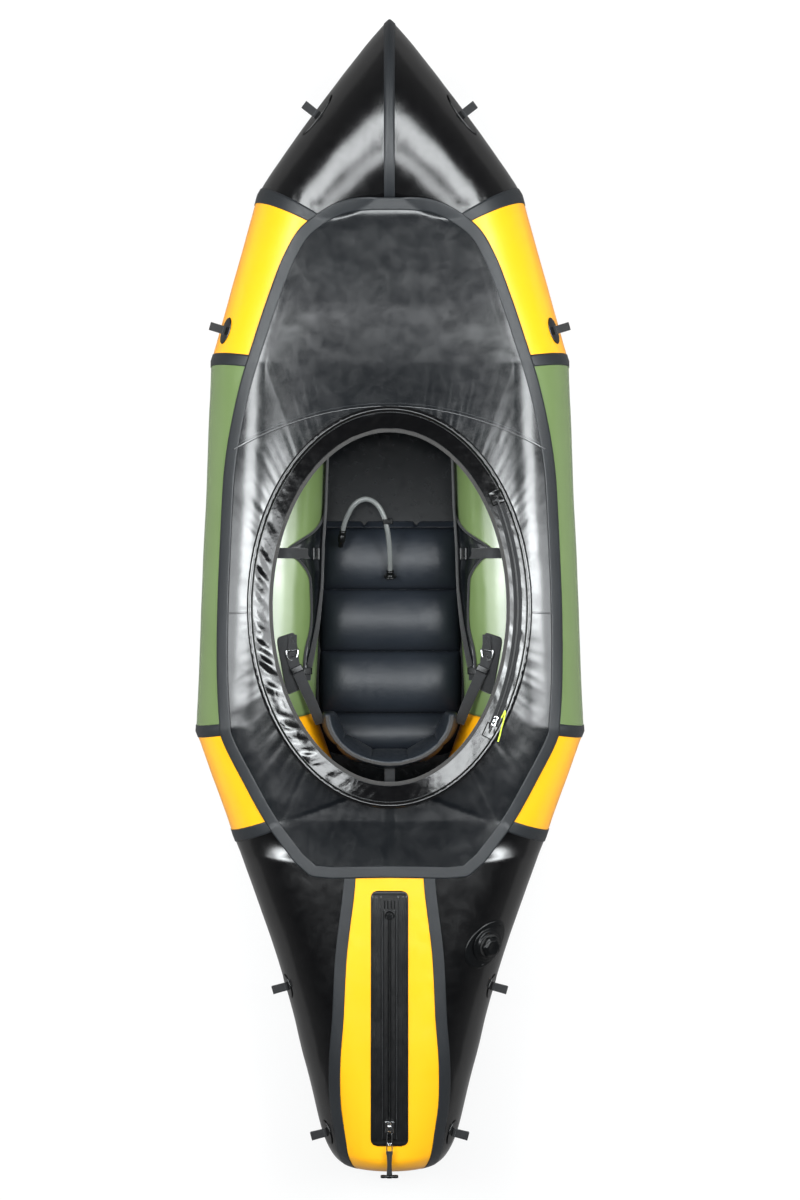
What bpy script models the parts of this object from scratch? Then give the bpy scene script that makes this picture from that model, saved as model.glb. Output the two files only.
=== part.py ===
"""Packraft: an inflatable one-person boat of taped panels, with a decked cockpit.

The bow points along +Y, the paddler's right side is +X and the origin is on
the underside of the floor sheet. The hull is a ring of round tubes that meet
at mitred joints, and they merge into one flat-topped body behind the cockpit.
"""

import math

import bmesh
import bpy
from mathutils import Matrix, Vector

# Hull, in metres
HULL_LENGTH = 2.79
HALF_BEAM = 0.4825
TUBE_RADIUS = 0.147
SKIN = 0.001
FLOOR_SKIN = 0.0015
GAP = 0.0003
BOW_RISE = 0.115
FRONT_RISE = 0.042
STERN_RISE = 0.05
TUBE_SIDES = 32

# Kinks of the hull's outer line, as shares of the half beam and of the length
TIP_SHARE = 0.5018
FRONT_JOINT_SHARES = (0.680, 0.3534)
MID_JOINT_SHARES = (0.922, 0.2125)
WIDEST_JOINT_SHARES = (1.0, -0.1165)
STERN_JOINT_SHARES = (0.808, -0.2090)
NOSE_DEPTH_SHARE = 0.0842213262

# Stern body: length share, then half width and seam shares of the half beam
STERN_SHARES = (
    (-0.2240, 0.771, 0.195), (-0.2510, 0.713, 0.203),
    (-0.3046, 0.602, 0.240),
    (-0.3584, 0.507, 0.256),
    (-0.3943, 0.455, 0.272),
    (-0.4301, 0.400, 0.272),
    (-0.4588, 0.360, 0.250),
    (-0.4749, 0.330, 0.236),
    (-0.4875, 0.288, 0.213),
    (-0.4955, 0.235, 0.187),
)
STERN_END_SHARES = (-0.4982, 0.180, 0.150)
END_ROUND_SHARE = 0.0232
STERN_RINGS = 9
END_RINGS = 5

# Tape and deck
TAPE_WIDTH = 0.028
TAPE = 0.0008
EDGE_TAPE_LIFT = 0.0012
DECK_SKIN = 0.0008
DECK_LIFT = 0.0012
DECK_WRAP_ROWS = 4
DECK_WRAP_TURN = math.radians(20)
DECK_WRAP_SHARE = 0.15
DECK_ROWS = 6
DECK_SLOPE_POWER = 1.6
# Deck seam from the bow to the stern, as shares of the half beam and length
DECK_SEAM_SHARES = (
    (0.0, 0.3369), (0.222, 0.3337), (0.398, 0.3176), (0.495, 0.2935),
    (0.577, 0.2588), (0.647, 0.2244), (0.712, 0.1900), (0.762, 0.1552),
    (0.797, 0.1208), (0.814, 0.0864), (0.836, 0.0), (0.839, -0.0606),
    (0.826, -0.1036), (0.810, -0.1208), (0.707, -0.1552), (0.592, -0.1900),
    (0.455, -0.2215), (0.380, -0.2330), (0.290, -0.2345), (0.0, -0.2337),
)
SEAM_STEP = 0.065

# Cockpit rim, a flared collar round an oval opening
RIM_HALF_WIDTH = 0.2825
RIM_HALF_LENGTH = 0.4215
RIM_SHIFT_SHARE = -0.0061
RIM_HEIGHT = 0.0145
COLLAR_FLARE = 0.0505
COLLAR_RISE = 0.024
COLLAR_SKIN = 0.0012
ROD_RADIUS = 0.0065
RIM_COLUMNS = 60

# Zip along the right side of the collar
RIM_ZIP_BEND_SHARE = 1.6607354686
RIM_ZIP_INSET = 0.027
RIM_ZIP_WIDTH = 0.019
RIM_ZIP_START = math.radians(-25.0)
RIM_ZIP_END = math.radians(22.0)
RIM_SLIDER_ANGLE = math.radians(-22.8)
RIM_SLIDER_SIZE = (0.011, 0.024, 0.006)
RIM_CORD_RADIUS = 0.0018
RIM_CORD_LENGTH = 0.070

# Seat pad of four welded channels, and the backrest
PAD_HALF_WIDTH = 0.184
PAD_FRONT_SHARE = 0.0663
PAD_LENGTH = 0.583
PAD_HEIGHT = 0.085
PAD_EDGE = 0.014
PAD_CHANNEL = 0.158
PAD_WELD_SHARE = 0.34
PAD_CORNER_SHARE = 0.30
PAD_COLUMNS = 12
PAD_ROWS = 24
BACK_HALF_WIDTH = 0.150
BACK_DEPTH = 0.118
BACK_THICKNESS = 0.044
BACK_EDGE = 0.008
BACK_TOP = 0.286
BACK_WING_DROP = 0.020
BACK_LIFT_ANGLE = math.radians(33.0)
BACK_BEHIND_PAD = 0.004
BACK_CELLS = 5
BACK_COLUMNS = 25
BACK_ROWS = 6
HINGE_RISE = 0.012

# Webbing, patches and rings
WEBBING = 0.0018
WEBBING_WIDTH = 0.028
STRAP_LIFT = 0.0016
THIGH_PAD = 0.006
THIGH_PAD_WIDTH = 0.046
PATCH_SKIN = 0.001
PATCH_LIFT = 0.0007
STRAP_PATCH = (0.050, 0.150)
RING_WIRE = 0.0025
RING_SIZE = (0.034, 0.024)
TIE_PATCH = (0.040, 0.058)
TIE_WIDTH = 0.020
TIE_LENGTH = 0.040
TIE_LOOP_HEIGHT = 0.012

# Inflation hose from the pad's nipple to its mouthpiece
HOSE_RADIUS = 0.0065
NIPPLE_RADIUS = 0.010
NIPPLE_HEIGHT = 0.014
MOUTHPIECE_RADIUS = 0.0095
MOUTHPIECE_LENGTH = 0.034
NIPPLE_TILT = math.radians(30)
NIPPLE_SHARE = 0.0222
HOSE_STEPS = 3
# Route of the hose after the nipple, point by point
HOSE_ROUTE = (
    (-0.001, 0.125, 0.124), (-0.005, 0.165, 0.138), (-0.014, 0.205, 0.145),
    (-0.032, 0.238, 0.149), (-0.060, 0.252, 0.147), (-0.087, 0.241, 0.141),
    (-0.105, 0.214, 0.131), (-0.115, 0.190, 0.122), (-0.120, 0.165, 0.113),
)

# Inflation valve on the right of the stern
VALVE_PLACE_SHARES = (0.487, -0.2975)
VALVE_PATCH_RADIUS = 0.0575
VALVE_RING_RADIUS = 0.041
VALVE_RING_HEIGHT = 0.009
VALVE_BORE = 0.0215
CAP_RADIUS = 0.026
CAP_HEIGHT = 0.014
CAP_STEM = 0.0195
GASKET_HEIGHT = 0.002
VALVE_SIDES = 20

# Cargo zip on the stern's top panel
ZIP_START = 0.045
ZIP_LENGTH = 0.622
ZIP_HALF_WIDTH = 0.0448
ZIP_PLATE = 0.0016
ZIP_CHAIN_WIDTH = 0.034
ZIP_CHAIN_HEIGHT = 0.004
ZIP_END_MARGIN = 0.016
SLIDER_SIZE = (0.023, 0.028, 0.013)
SLIDER_BACK = 0.045
PULL_NOSE = 0.001
PULL_STRAP = (0.015, 0.075, 0.0025)
PULL_BAR_RADIUS = 0.004
PULL_BAR_LENGTH = 0.042

MICRO = 1e-6

# Helpers of the fine shapes: shares, steps and powers
END_CLOSE_SHARE = 0.985
CUT_GAP = 3 * GAP
BOW_TAPE_SHARE = 0.85
TAPE_LIFT = GAP + TAPE / 4
FRAME_STEP = TAPE_WIDTH / 4
EDGE_SHARES = (-0.5, 0.0, 0.5)
STEP_SHARES = (0.0, 0.5, 1.0)
BACK_EDGE_POWER = 4
BAND_SHARES = (-1.0, -0.33, 0.33, 1.0)
STRAP_DROP_SHARE = 0.2
STRAP_TIP_SHARE = 0.8
STRAP_STEPS = 5
REAR_STEPS = 4
NECK_SHARE = 0.4
HOSE_LEAD_RADII = 4
TAPER_SHARE = 0.2
CAP_RIM_SHARE = 0.7
CAP_GRIP_SHARE = 0.8
CAP_TOP_SHARE = 0.6
ZIP_BASE_SHARES = (-1.0, -0.6, -0.3, 0.0, 0.3, 0.6, 1.0)
BLOCK_BEVEL = 0.001
SLIDER_BEVEL = 0.002
BAR_SIDES = 10
RING_STEPS = 10
PATCH_STEPS = 6
TIE_PATCH_STEPS = 4
HALVINGS = 30
SEAM_SIDE_SHARE = 0.3
SHARP_ANGLE = math.radians(35)

# Places and tables of the pieces
BASE = FLOOR_SKIN + GAP + TUBE_RADIUS
ABOVE = Vector((0, 0, HULL_LENGTH))
BELOW = -ABOVE
ASTERN = Vector((0, -HULL_LENGTH, 0))
RUN_NAMES = ("bow", "front", "mid", "rear")
SIDE_POINTS = 17
PANEL_SHARES = (-1.0, -0.8, -0.6, -0.4, -0.2, 0.0, 0.2, 0.4, 0.6, 0.8, 1.0)
WALL_SHARES = (-0.97, -0.5, 0.0, 0.5, 0.97)
FLOOR_SHARES = (-1.0, -0.5, 0.0, 0.5, 1.0)
RIM_Y = RIM_SHIFT_SHARE * HULL_LENGTH
RIM_Z = BASE + TUBE_RADIUS + RIM_HEIGHT
DECK_SPLIT_SHARE = 0.1208
DECK_INSET = 0.004
FAN_SHARES = (0.87, 0.29, 0.23)
TAPE_STOP_SHARE = 0.75
JOINT_NAMES = ("bow", "front", "mid", "stern")
RIM_ZIP_REACH = RIM_ZIP_BEND_SHARE * RIM_HALF_LENGTH
ZIP_CENTRE = Vector((RIM_HALF_WIDTH + COLLAR_FLARE - RIM_ZIP_INSET - RIM_ZIP_REACH, RIM_Y, 0))
RIM_ZIP_LIFT = 0.0008
RIM_ZIP_STEPS = 22
RIM_CORD_SHARES = ((0.0, 0.0, 0.0), (0.25, 1.2, -0.02), (0.5, 1.6, -0.03),
                   (0.75, 1.6, -0.05), (1.0, 1.5, -0.08))
FLOOR_TOP = FLOOR_SKIN + GAP
PAD_FRONT = PAD_FRONT_SHARE * HULL_LENGTH
PAD_WELDS = [0.0, PAD_CHANNEL, 2 * PAD_CHANNEL, 3 * PAD_CHANNEL, PAD_LENGTH]
SIDE_POWER = 6
PAD_DRAW_IN = 0.004
BACK_Y = PAD_FRONT - PAD_LENGTH + BACK_BEHIND_PAD
BACK_BOTTOM = FLOOR_TOP + PAD_HEIGHT - BACK_EDGE
HINGE = Vector((0, BACK_Y, BACK_BOTTOM + HINGE_RISE))
BACK_WELD_SHARE = 0.55
BACK_RANGE = math.pi / 2
SIDES = (("right", 1), ("left", -1))
STRAP_PATCH_PLACE = (-0.0584, math.radians(127))
STRAP_PATCH_TURN = math.radians(-13)
THIGH_PATH = (
    (0.0968, math.radians(168)), (0.0660, math.radians(146)),
    (0.0430, math.radians(134)), (0.0150, math.radians(141)),
    (-0.0080, math.radians(146)), (-0.0250, math.radians(144)),
)
THIGH_STEPS = 4
RING_SHARE = 0.22
STRAP_END_RISE_SHARE = 0.82
STRAP_TURN = math.radians(78)
REAR_STRAP_SHARE = 0.75
REAR_STRAP_WIDTH = 0.025
CYLINDER_SIDES = 20
PANEL_TAPE_SKIP = 3
VALVE_STEP = 0.005
VALVE_COLLAR = 0.031
VALVE_LIP = 0.003
CAP_SIDES = 16
ZIP_STEPS = 10
# Tie loops: name, length share and angle round the hull
TIE_PLACES = (
    ("bow", 0.3700, math.radians(30)), ("front", 0.2258, math.radians(34)),
    ("stern", -0.3380, math.radians(24)), ("tail", -0.4620, math.radians(30)),
)
TIE_LEAN = math.radians(35)


for item in list(bpy.data.objects):
    bpy.data.objects.remove(item)


def material(name, hex_colour, roughness, metallic=0.0):
    """A Principled material whose colour is given as an sRGB hex string."""
    made = bpy.data.materials.get(name) or bpy.data.materials.new(name)
    made.use_nodes = True
    shader = made.node_tree.nodes["Principled BSDF"]
    channels = [int(hex_colour[i:i + 2], 16) / 255 for i in (1, 3, 5)]
    linear = [c / 12.92 if c <= 0.04045 else ((c + 0.055) / 1.055) ** 2.4 for c in channels]
    shader.inputs["Base Color"].default_value = (*linear, 1.0)
    shader.inputs["Roughness"].default_value = roughness
    shader.inputs["Metallic"].default_value = metallic
    return made


BLACK = material("black_coated_nylon", "#0D0D0F", 0.28)
YELLOW = material("yellow_coated_nylon", "#FFE100", 0.38)
GREEN = material("green_coated_nylon", "#748C5B", 0.38)
TAPE_GREY = material("slate_seam_tape", "#34383C", 0.45)
DECK_BLACK = material("charcoal_deck_fabric", "#2A2E33", 0.4)
COLLAR_BLACK = material("glossy_collar_fabric", "#101114", 0.22)
SEAT_BLACK = material("satin_seat_fabric", "#23282F", 0.45)
WEBBING_BLACK = material("black_webbing", "#141517", 0.8)
PLASTIC = material("black_moulded_plastic", "#121315", 0.4)
RUBBER = material("rubber_gasket", "#1B1B1B", 0.7)
STEEL = material("polished_steel", "#C9CBCD", 0.25, 1.0)
CLEAR_HOSE = material("translucent_hose", "#B9BBB8", 0.35)
NEON = material("neon_cord", "#CFE64A", 0.6)


def add_object(name, mesh, surface, smooth=True):
    """Link a mesh as a named object with one material, shaded smooth."""
    made = bpy.data.objects.new(name, mesh)
    bpy.context.scene.collection.objects.link(made)
    mesh.materials.append(surface)
    if smooth:
        mesh.shade_smooth()
        mesh.set_sharp_from_angle(angle=SHARP_ANGLE)
    return made


def grid_mesh(name, rows, closed=False):
    """A mesh of quads over rows of points; closed joins the last column to the first."""
    shape = bmesh.new()
    grid = [[shape.verts.new(point) for point in row] for row in rows]
    for upper, lower in zip(grid, grid[1:]):
        count = len(upper)
        for i in range(count if closed else count - 1):
            j = (i + 1) % count
            shape.faces.new((upper[i], upper[j], lower[j], lower[i]))
    mesh = bpy.data.meshes.new(name)
    shape.to_mesh(mesh)
    shape.free()
    return mesh


def face_away(mesh, inside):
    """Turn every face of a grid so that the sheet faces away from a point."""
    shape = bmesh.new()
    shape.from_mesh(mesh)
    facing = sum(f.normal.dot(f.calc_center_median() - inside) * f.calc_area()
                 for f in shape.faces)
    if facing < 0:
        bmesh.ops.reverse_faces(shape, faces=shape.faces)
    shape.to_mesh(mesh)
    shape.free()


def sheet(name, rows, thickness, surface, closed=False, outward=True, inside=None,
          even=True):
    """A skin: a grid thickened by Solidify, away from its inner side or towards it."""
    mesh = grid_mesh(name, rows, closed)
    points = [Vector(p) for row in rows for p in row]
    face_away(mesh, inside or sum(points, Vector()) / len(points))
    made = add_object(name, mesh, surface)
    solid = made.modifiers.new("skin", "SOLIDIFY")
    solid.thickness = thickness
    solid.offset = 1.0 if outward else -1.0
    solid.use_even_offset = even
    solid.use_quality_normals = True
    return made


def mirrored(points):
    """The same points on the other side of the boat."""
    return [Vector((-p.x, p.y, p.z)) for p in points]


def plan(shares):
    """A place in plan: shares of the half beam and of the hull's length."""
    return Vector((shares[0] * HALF_BEAM, shares[1] * HULL_LENGTH, 0))


class Ring:
    """One mitre of the right-hand tube: its middle and its outward half axis."""

    def __init__(self, middle, out):
        self.middle = middle
        self.out = out

    def point(self, angle, lift=0.0):
        share = 1 + lift / TUBE_RADIUS
        up = Vector((0, 0, TUBE_RADIUS * math.sin(angle)))
        return self.middle + (self.out * math.cos(angle) + up) * share


def mitre(before, kink, after, rise):
    """The ring at a kink of the outer line, square to both runs on average."""
    normals = []
    for start, end in ((before, kink), (kink, after)):
        run = (end - start).normalized()
        normals.append(Vector((-run.y, run.x, 0)))
    out = (normals[0] + normals[1]).normalized()
    out *= TUBE_RADIUS / out.dot(normals[0])
    return Ring(kink - out + Vector((0, 0, BASE + rise)), out)


def hull_rings():
    tip = plan((0, TIP_SHARE))
    kinks = [plan(s) for s in (FRONT_JOINT_SHARES, MID_JOINT_SHARES,
                               WIDEST_JOINT_SHARES, STERN_JOINT_SHARES)]
    after = plan((STERN_SHARES[1][1], STERN_SHARES[1][0]))
    line = [tip] + kinks + [after]
    rises = (FRONT_RISE, 0.0, 0.0, 0.0)
    rings = [mitre(line[i], line[i + 1], line[i + 2], rises[i]) for i in range(len(kinks))]
    nose_out = Vector((0, NOSE_DEPTH_SHARE * HULL_LENGTH, 0))
    nose = Ring(tip - nose_out + Vector((0, 0, BASE + BOW_RISE)), nose_out)
    return [nose] + rings


RINGS = hull_rings()


def between(first, second, share):
    """A ring part of the way along a run."""
    return Ring(first.middle.lerp(second.middle, share), first.out.lerp(second.out, share))


def run_share(index, distance):
    """A distance along a run, as a share of it."""
    return distance / (RINGS[index + 1].middle - RINGS[index].middle).length


def circle_angles(count):
    return [2 * math.pi * i / count for i in range(count)]


def make_hull_runs():
    for index, name in enumerate(RUN_NAMES):
        colour = {"bow": BLACK, "mid": GREEN}.get(name, YELLOW)
        step = run_share(index, GAP)
        first = run_share(index, 2 * SKIN + GAP) if index == 0 else step
        ends = [between(RINGS[index], RINGS[index + 1], s) for s in (first, 1 - step)]
        rows = [[ring.point(a) for a in circle_angles(TUBE_SIDES)] for ring in ends]
        sheet(f"hull_{name}_right", rows, SKIN, colour, closed=True, outward=False)
        rows = [mirrored(row) for row in rows]
        sheet(f"hull_{name}_left", rows, SKIN, colour, closed=True, outward=False)


def share_table(y_share, column):
    """A stern width at a length share, read between the rows of the stern's shares."""
    table = STERN_SHARES + (STERN_END_SHARES,)
    for upper, lower in zip(table, table[1:]):
        if y_share >= lower[0]:
            part = (upper[0] - y_share) / (upper[0] - lower[0])
            return upper[column] + (lower[column] - upper[column]) * part
    return table[-1][column]


class SternSection:
    """A cross-section of the stern: a flat middle between two round sides."""

    def __init__(self, y_share):
        first = RINGS[-1].middle.y / HULL_LENGTH
        self.y = y_share * HULL_LENGTH
        self.half = share_table(y_share, 1) * HALF_BEAM
        self.seam = share_table(y_share, 2) * HALF_BEAM
        last = STERN_END_SHARES[0]
        self.middle = BASE + STERN_RISE * (first - y_share) / (first - last)
        into_end = min(1.0, max(0.0, (last + END_ROUND_SHARE - y_share) / END_ROUND_SHARE))
        self.height = TUBE_RADIUS * math.sqrt(max(0.0, 1 - into_end ** 2 * END_CLOSE_SHARE))
        self.flat = max(self.half - TUBE_RADIUS, 0.0)
        self.round = self.half - self.flat

    def surface(self, x, top=True, lift=0.0):
        out = max(0.0, (abs(x) - self.flat) / self.round)
        rise = self.height * math.sqrt(max(0.0, 1 - out ** 2)) + lift
        return Vector((x, self.y, self.middle + (rise if top else -rise)))

    def side(self, share, lift=0.0):
        """A point on the side between the top seam (0) and the bottom seam (1)."""
        start = math.pi / 2
        if self.seam > self.flat:
            start = math.acos(min(1.0, (self.seam - self.flat) / self.round))
        ledge = max(0.0, self.flat - self.seam)
        arc = 2 * start * TUBE_RADIUS
        along = share * (arc + 2 * ledge)
        if along < ledge:
            return Vector((self.seam + along, self.y, self.middle + self.height + lift))
        if along > arc + ledge:
            x = self.flat - (along - arc - ledge)
            return Vector((x, self.y, self.middle - self.height - lift))
        angle = start - (along - ledge) / TUBE_RADIUS
        x = self.flat + (self.round + lift) * math.cos(angle)
        return Vector((x, self.y, self.middle + (self.height + lift) * math.sin(angle)))


def stern_sections():
    first, last = STERN_SHARES[0][0], STERN_END_SHARES[0]
    bend = last + END_ROUND_SHARE
    shares = [first + (bend - first) * i / STERN_RINGS for i in range(STERN_RINGS)]
    for i in range(END_RINGS + 1):
        turn = math.pi / 2 * i / END_RINGS
        shares.append(bend - END_ROUND_SHARE * math.sin(turn))
    return [SternSection(s) for s in shares]


STERN = stern_sections()


def make_stern():
    """The black sides, the yellow top panel with its turned-down end, and the bulkhead."""
    step = run_share(3, GAP)
    start = Ring(RINGS[-1].middle + (RINGS[-1].middle - RINGS[-2].middle) * step, RINGS[-1].out)
    half_turn = [math.pi / 2 - math.pi * i / (SIDE_POINTS - 1) for i in range(SIDE_POINTS)]
    rows = [[start.point(a) for a in half_turn]]
    for section in STERN:
        rows.append([section.side(i / (SIDE_POINTS - 1)) for i in range(SIDE_POINTS)])
    sheet("hull_stern_right", rows, SKIN, BLACK, outward=False)
    sheet("hull_stern_left", [mirrored(row) for row in rows], SKIN, BLACK, outward=False)
    rows = []
    for section in STERN:
        rows.append([section.surface(section.seam * share - math.copysign(GAP, share)
                                     if share else 0.0) for share in PANEL_SHARES])
    end = STERN[-1]
    rows.append([Vector((p.x, p.y - GAP, end.middle + GAP)) for p in rows[-1]])
    sheet("stern_top_panel", rows, SKIN, YELLOW, outward=False, inside=BELOW)
    wall = [math.pi / 2 + math.pi * i / (SIDE_POINTS - 1) for i in range(SIDE_POINTS)]
    rows = []
    for angle in wall:
        point = RINGS[-1].point(angle, -SKIN - GAP)
        rows.append([Vector((point.x * s, point.y, point.z)) for s in WALL_SHARES])
    sheet("rear_bulkhead", rows, SKIN, BLACK, inside=ASTERN)


def make_floor():
    """One sheet under the whole hull, flat amidships, that rises to bow and stern."""
    down = -math.pi / 2
    rows = []
    for index in range(len(RUN_NAMES)):
        first = run_share(0, TAPE_WIDTH) if index == 0 else 0.0
        ring = between(RINGS[index], RINGS[index + 1], first)
        low = ring.point(down)
        rows.append([Vector((low.x * s, low.y, low.z - GAP)) for s in FLOOR_SHARES])
    low = RINGS[-1].point(down)
    rows.append([Vector((low.x * s, low.y, low.z - GAP)) for s in FLOOR_SHARES])
    for section in STERN[1:]:
        rows.append([section.surface(section.seam * s, top=False, lift=GAP)
                     for s in FLOOR_SHARES])
    sheet("floor_sheet", rows, FLOOR_SKIN, BLACK, inside=ABOVE)


def ahead_of(ring, place):
    """How far a place in plan lies forward of a ring's plane."""
    out = ring.out.normalized()
    step = place - ring.middle
    return out.x * step.y - out.y * step.x


def crown_height(y):
    """The tubes' top at a length along the boat."""
    for first, second in zip(RINGS, RINGS[1:]):
        if y >= second.middle.y:
            share = (first.middle.y - y) / (first.middle.y - second.middle.y)
            low = first.middle.lerp(second.middle, max(0.0, share))
            return low.z + TUBE_RADIUS
    return SternSection(y / HULL_LENGTH).surface(0.0).z


def ring_at(place):
    """The ring of the right-hand tube through a place in plan, or None at the stern."""
    for first, second in zip(RINGS, RINGS[1:]):
        near, far = ahead_of(first, place), ahead_of(second, place)
        if first is RINGS[0]:
            near = -place.x
        if near <= 0 <= far:
            return between(first, second, near / (near - far)), second.middle - first.middle
    return None, None


def hull_top(x, y):
    """The height of the hull, or of the deck stretched inside its crowns."""
    place = Vector((abs(x), y, 0))
    ring, run = ring_at(place)
    if ahead_of(RINGS[-1], place) < 0:
        return SternSection(y / HULL_LENGTH).surface(x).z
    if ring is None:
        return crown_height(y)
    run.z = 0
    step = place - ring.middle
    out = (run.x * step.y - run.y * step.x) / run.length
    height = ring.middle.z + math.sqrt(max(0.0, TUBE_RADIUS ** 2 - out ** 2))
    return height if out > 0 else max(crown_height(y), height)


def deck_seam():
    """The deck's seam in plan down the right side, from bow centre to stern centre."""
    corners = [plan(s) for s in DECK_SEAM_SHARES]
    for ring in RINGS[1:]:
        for i, (start, end) in enumerate(zip(corners, corners[1:])):
            near, far = ahead_of(ring, start), ahead_of(ring, end)
            if near > 0 > far and start.x > ring.middle.x * SEAM_SIDE_SHARE:
                corners.insert(i + 1, start.lerp(end, near / (near - far)))
                break
    points = [corners[0]]
    for start, end in zip(corners, corners[1:]):
        count = max(1, round((end - start).length / SEAM_STEP))
        points += [start.lerp(end, i / count) for i in range(1, count + 1)]
    return points


SEAM = deck_seam()


def rim_point(angle, out, height=0.0):
    """A point of the oval rim, some way out from its inner edge."""
    return Vector(((RIM_HALF_WIDTH + out) * math.cos(angle),
                   RIM_Y + (RIM_HALF_LENGTH + out) * math.sin(angle), RIM_Z + height))


def deck_column(seam_point):
    """A line of deck points from the seam in to the rim."""
    reach = FAN_SHARES[1] if seam_point.y > RIM_Y else FAN_SHARES[2]
    angle = math.atan2((seam_point.y - RIM_Y) / (reach * HULL_LENGTH),
                       seam_point.x / (FAN_SHARES[0] * HALF_BEAM))
    slope = COLLAR_RISE / COLLAR_FLARE
    edge = rim_point(angle, DECK_INSET, DECK_INSET * slope - CUT_GAP - DECK_SKIN)
    rise = edge.z - hull_top(edge.x, edge.y) - DECK_LIFT
    ring, _ = ring_at(seam_point)
    if ring is None or ahead_of(RINGS[-1], seam_point) < -GAP:
        wrap = [seam_point.lerp(edge, DECK_WRAP_SHARE * i / DECK_WRAP_ROWS)
                for i in range(DECK_WRAP_ROWS + 1)]
    else:
        out = (seam_point - ring.middle).dot(ring.out) / ring.out.length ** 2
        start = math.acos(max(-1.0, min(1.0, out)))
        end = max(math.pi / 2, start + DECK_WRAP_TURN)
        wrap = [ring.middle + ring.out * math.cos(start + (end - start) * i / DECK_WRAP_ROWS)
                for i in range(DECK_WRAP_ROWS + 1)]
    column = wrap[:-1] + [wrap[-1].lerp(edge, i / DECK_ROWS) for i in range(DECK_ROWS + 1)]
    for i, place in enumerate(column):
        inner = max(0, i - DECK_WRAP_ROWS) / DECK_ROWS
        place.z = hull_top(place.x, place.y) + DECK_LIFT + rise * inner ** DECK_SLOPE_POWER
    return column


def flip(point, side):
    return Vector((point.x * side, point.y, point.z))


def make_deck():
    split = DECK_SPLIT_SHARE * HULL_LENGTH
    columns = [deck_column(p) for p in SEAM]
    cut = min(range(len(SEAM)), key=lambda i: abs(SEAM[i].y - split))
    right = columns[:cut + 1]
    front = [mirrored(c) for c in reversed(right[1:])] + right
    step = Vector((0, CUT_GAP, 0))
    aft = [[p - step for p in columns[cut]]] + columns[cut + 1:]
    rear = aft + [mirrored(c) for c in reversed(aft[:-1])]
    sheet("deck_front", front, DECK_SKIN, DECK_BLACK, inside=BELOW)
    sheet("deck_rear", rear, DECK_SKIN, DECK_BLACK, inside=BELOW)


def make_edge_tape():
    """Tape over the deck's seam: one half lies on the deck, the other on the hull."""
    lift = DECK_SKIN + EDGE_TAPE_LIFT
    right = []
    for i, point in enumerate(SEAM):
        column = deck_column(point)
        before = SEAM[i - 1] if i else flip(SEAM[1], -1)
        after = SEAM[i + 1] if i + 1 < len(SEAM) else flip(SEAM[-2], -1)
        run = (after - before).normalized()
        outer = point + Vector((-run.y, run.x, 0)) * TAPE_WIDTH / 2
        outer.z = hull_top(outer.x, outer.y) + DECK_LIFT
        for near, far in zip(column, column[1:]):
            step = (far.xy - point.xy).length
            if step >= TAPE_WIDTH / 2:
                start = (near.xy - point.xy).length
                inner = near.lerp(far, (TAPE_WIDTH / 2 - start) / (step - start))
                break
        row = [outer, column[0], inner]
        right.append([p + Vector((0, 0, lift)) for p in row])
    rows = right + [mirrored(row) for row in reversed(right[1:-1])]
    columns = [[row[k] for row in rows] for k in range(3)]
    sheet("deck_edge_tape", columns, TAPE, TAPE_GREY, closed=True, inside=BELOW, even=False)


def seam_angle(ring):
    """The angle on a ring at which the deck's seam crosses it."""
    best = None
    for first, second in zip(SEAM, SEAM[1:]):
        near, far = ahead_of(ring, first), ahead_of(ring, second)
        if near >= 0 > far and first.x > ring.middle.x * SEAM_SIDE_SHARE:
            best = first.lerp(second, near / (near - far))
    out = (best - ring.middle).dot(ring.out) / ring.out.length ** 2
    return math.acos(max(-1.0, min(1.0, out)))


def make_joint_tapes():
    """Tape over each joint of the tubes, from the floor up to the deck's seam."""
    for index, name in enumerate(JOINT_NAMES, start=1):
        ring = RINGS[index]
        low = -math.pi / 2 + TAPE_WIDTH / TUBE_RADIUS / 2
        high = seam_angle(ring) - TAPE_WIDTH * TAPE_STOP_SHARE / TUBE_RADIUS
        before = between(RINGS[index - 1], ring, 1 - run_share(index - 1, TAPE_WIDTH / 2))
        if index < len(RUN_NAMES):
            after = between(ring, RINGS[index + 1], run_share(index, TAPE_WIDTH / 2))
        else:
            back = (ring.middle - RINGS[-2].middle).normalized() * TAPE_WIDTH / 2
            after = Ring(ring.middle + back, ring.out)
        turns = [2 * math.pi * i / TUBE_SIDES for i in range(-TUBE_SIDES // 4, TUBE_SIDES // 2)]
        angles = [low] + [a for a in turns if low < a < high] + [high]
        lift = DECK_LIFT if index == len(RUN_NAMES) else TAPE_LIFT
        rows = [[r.point(a, lift) for a in angles] for r in (before, ring, after)]
        inside = ring.middle
        sheet(f"{name}_joint_tape_right", rows, TAPE, TAPE_GREY, inside=inside)
        rows = [mirrored(row) for row in rows]
        inside = Vector((-inside.x, inside.y, inside.z))
        sheet(f"{name}_joint_tape_left", rows, TAPE, TAPE_GREY, inside=inside)


def make_bow_tape():
    """Tape down the bow's centre seam, over the nose to the floor."""
    low = -math.pi / 2 + TAPE_WIDTH / TUBE_RADIUS / 2
    seam_y = SEAM[0].y + TAPE_WIDTH / 2 + GAP
    high = math.acos((seam_y - RINGS[0].middle.y) / RINGS[0].out.length)
    turns = [2 * math.pi * i / TUBE_SIDES for i in range(-TUBE_SIDES // 4, TUBE_SIDES // 2)]
    angles = [low] + [a for a in turns if low < a < high] + [high]
    side = between(RINGS[0], RINGS[1], run_share(0, TAPE_WIDTH * BOW_TAPE_SHARE))
    right = [side.point(a, TAPE_LIFT) for a in angles]
    rows = [mirrored(right), [RINGS[0].point(a, TAPE_LIFT) for a in angles], right]
    sheet("bow_centre_tape", rows, TAPE, TAPE_GREY, inside=RINGS[0].middle)


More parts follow.
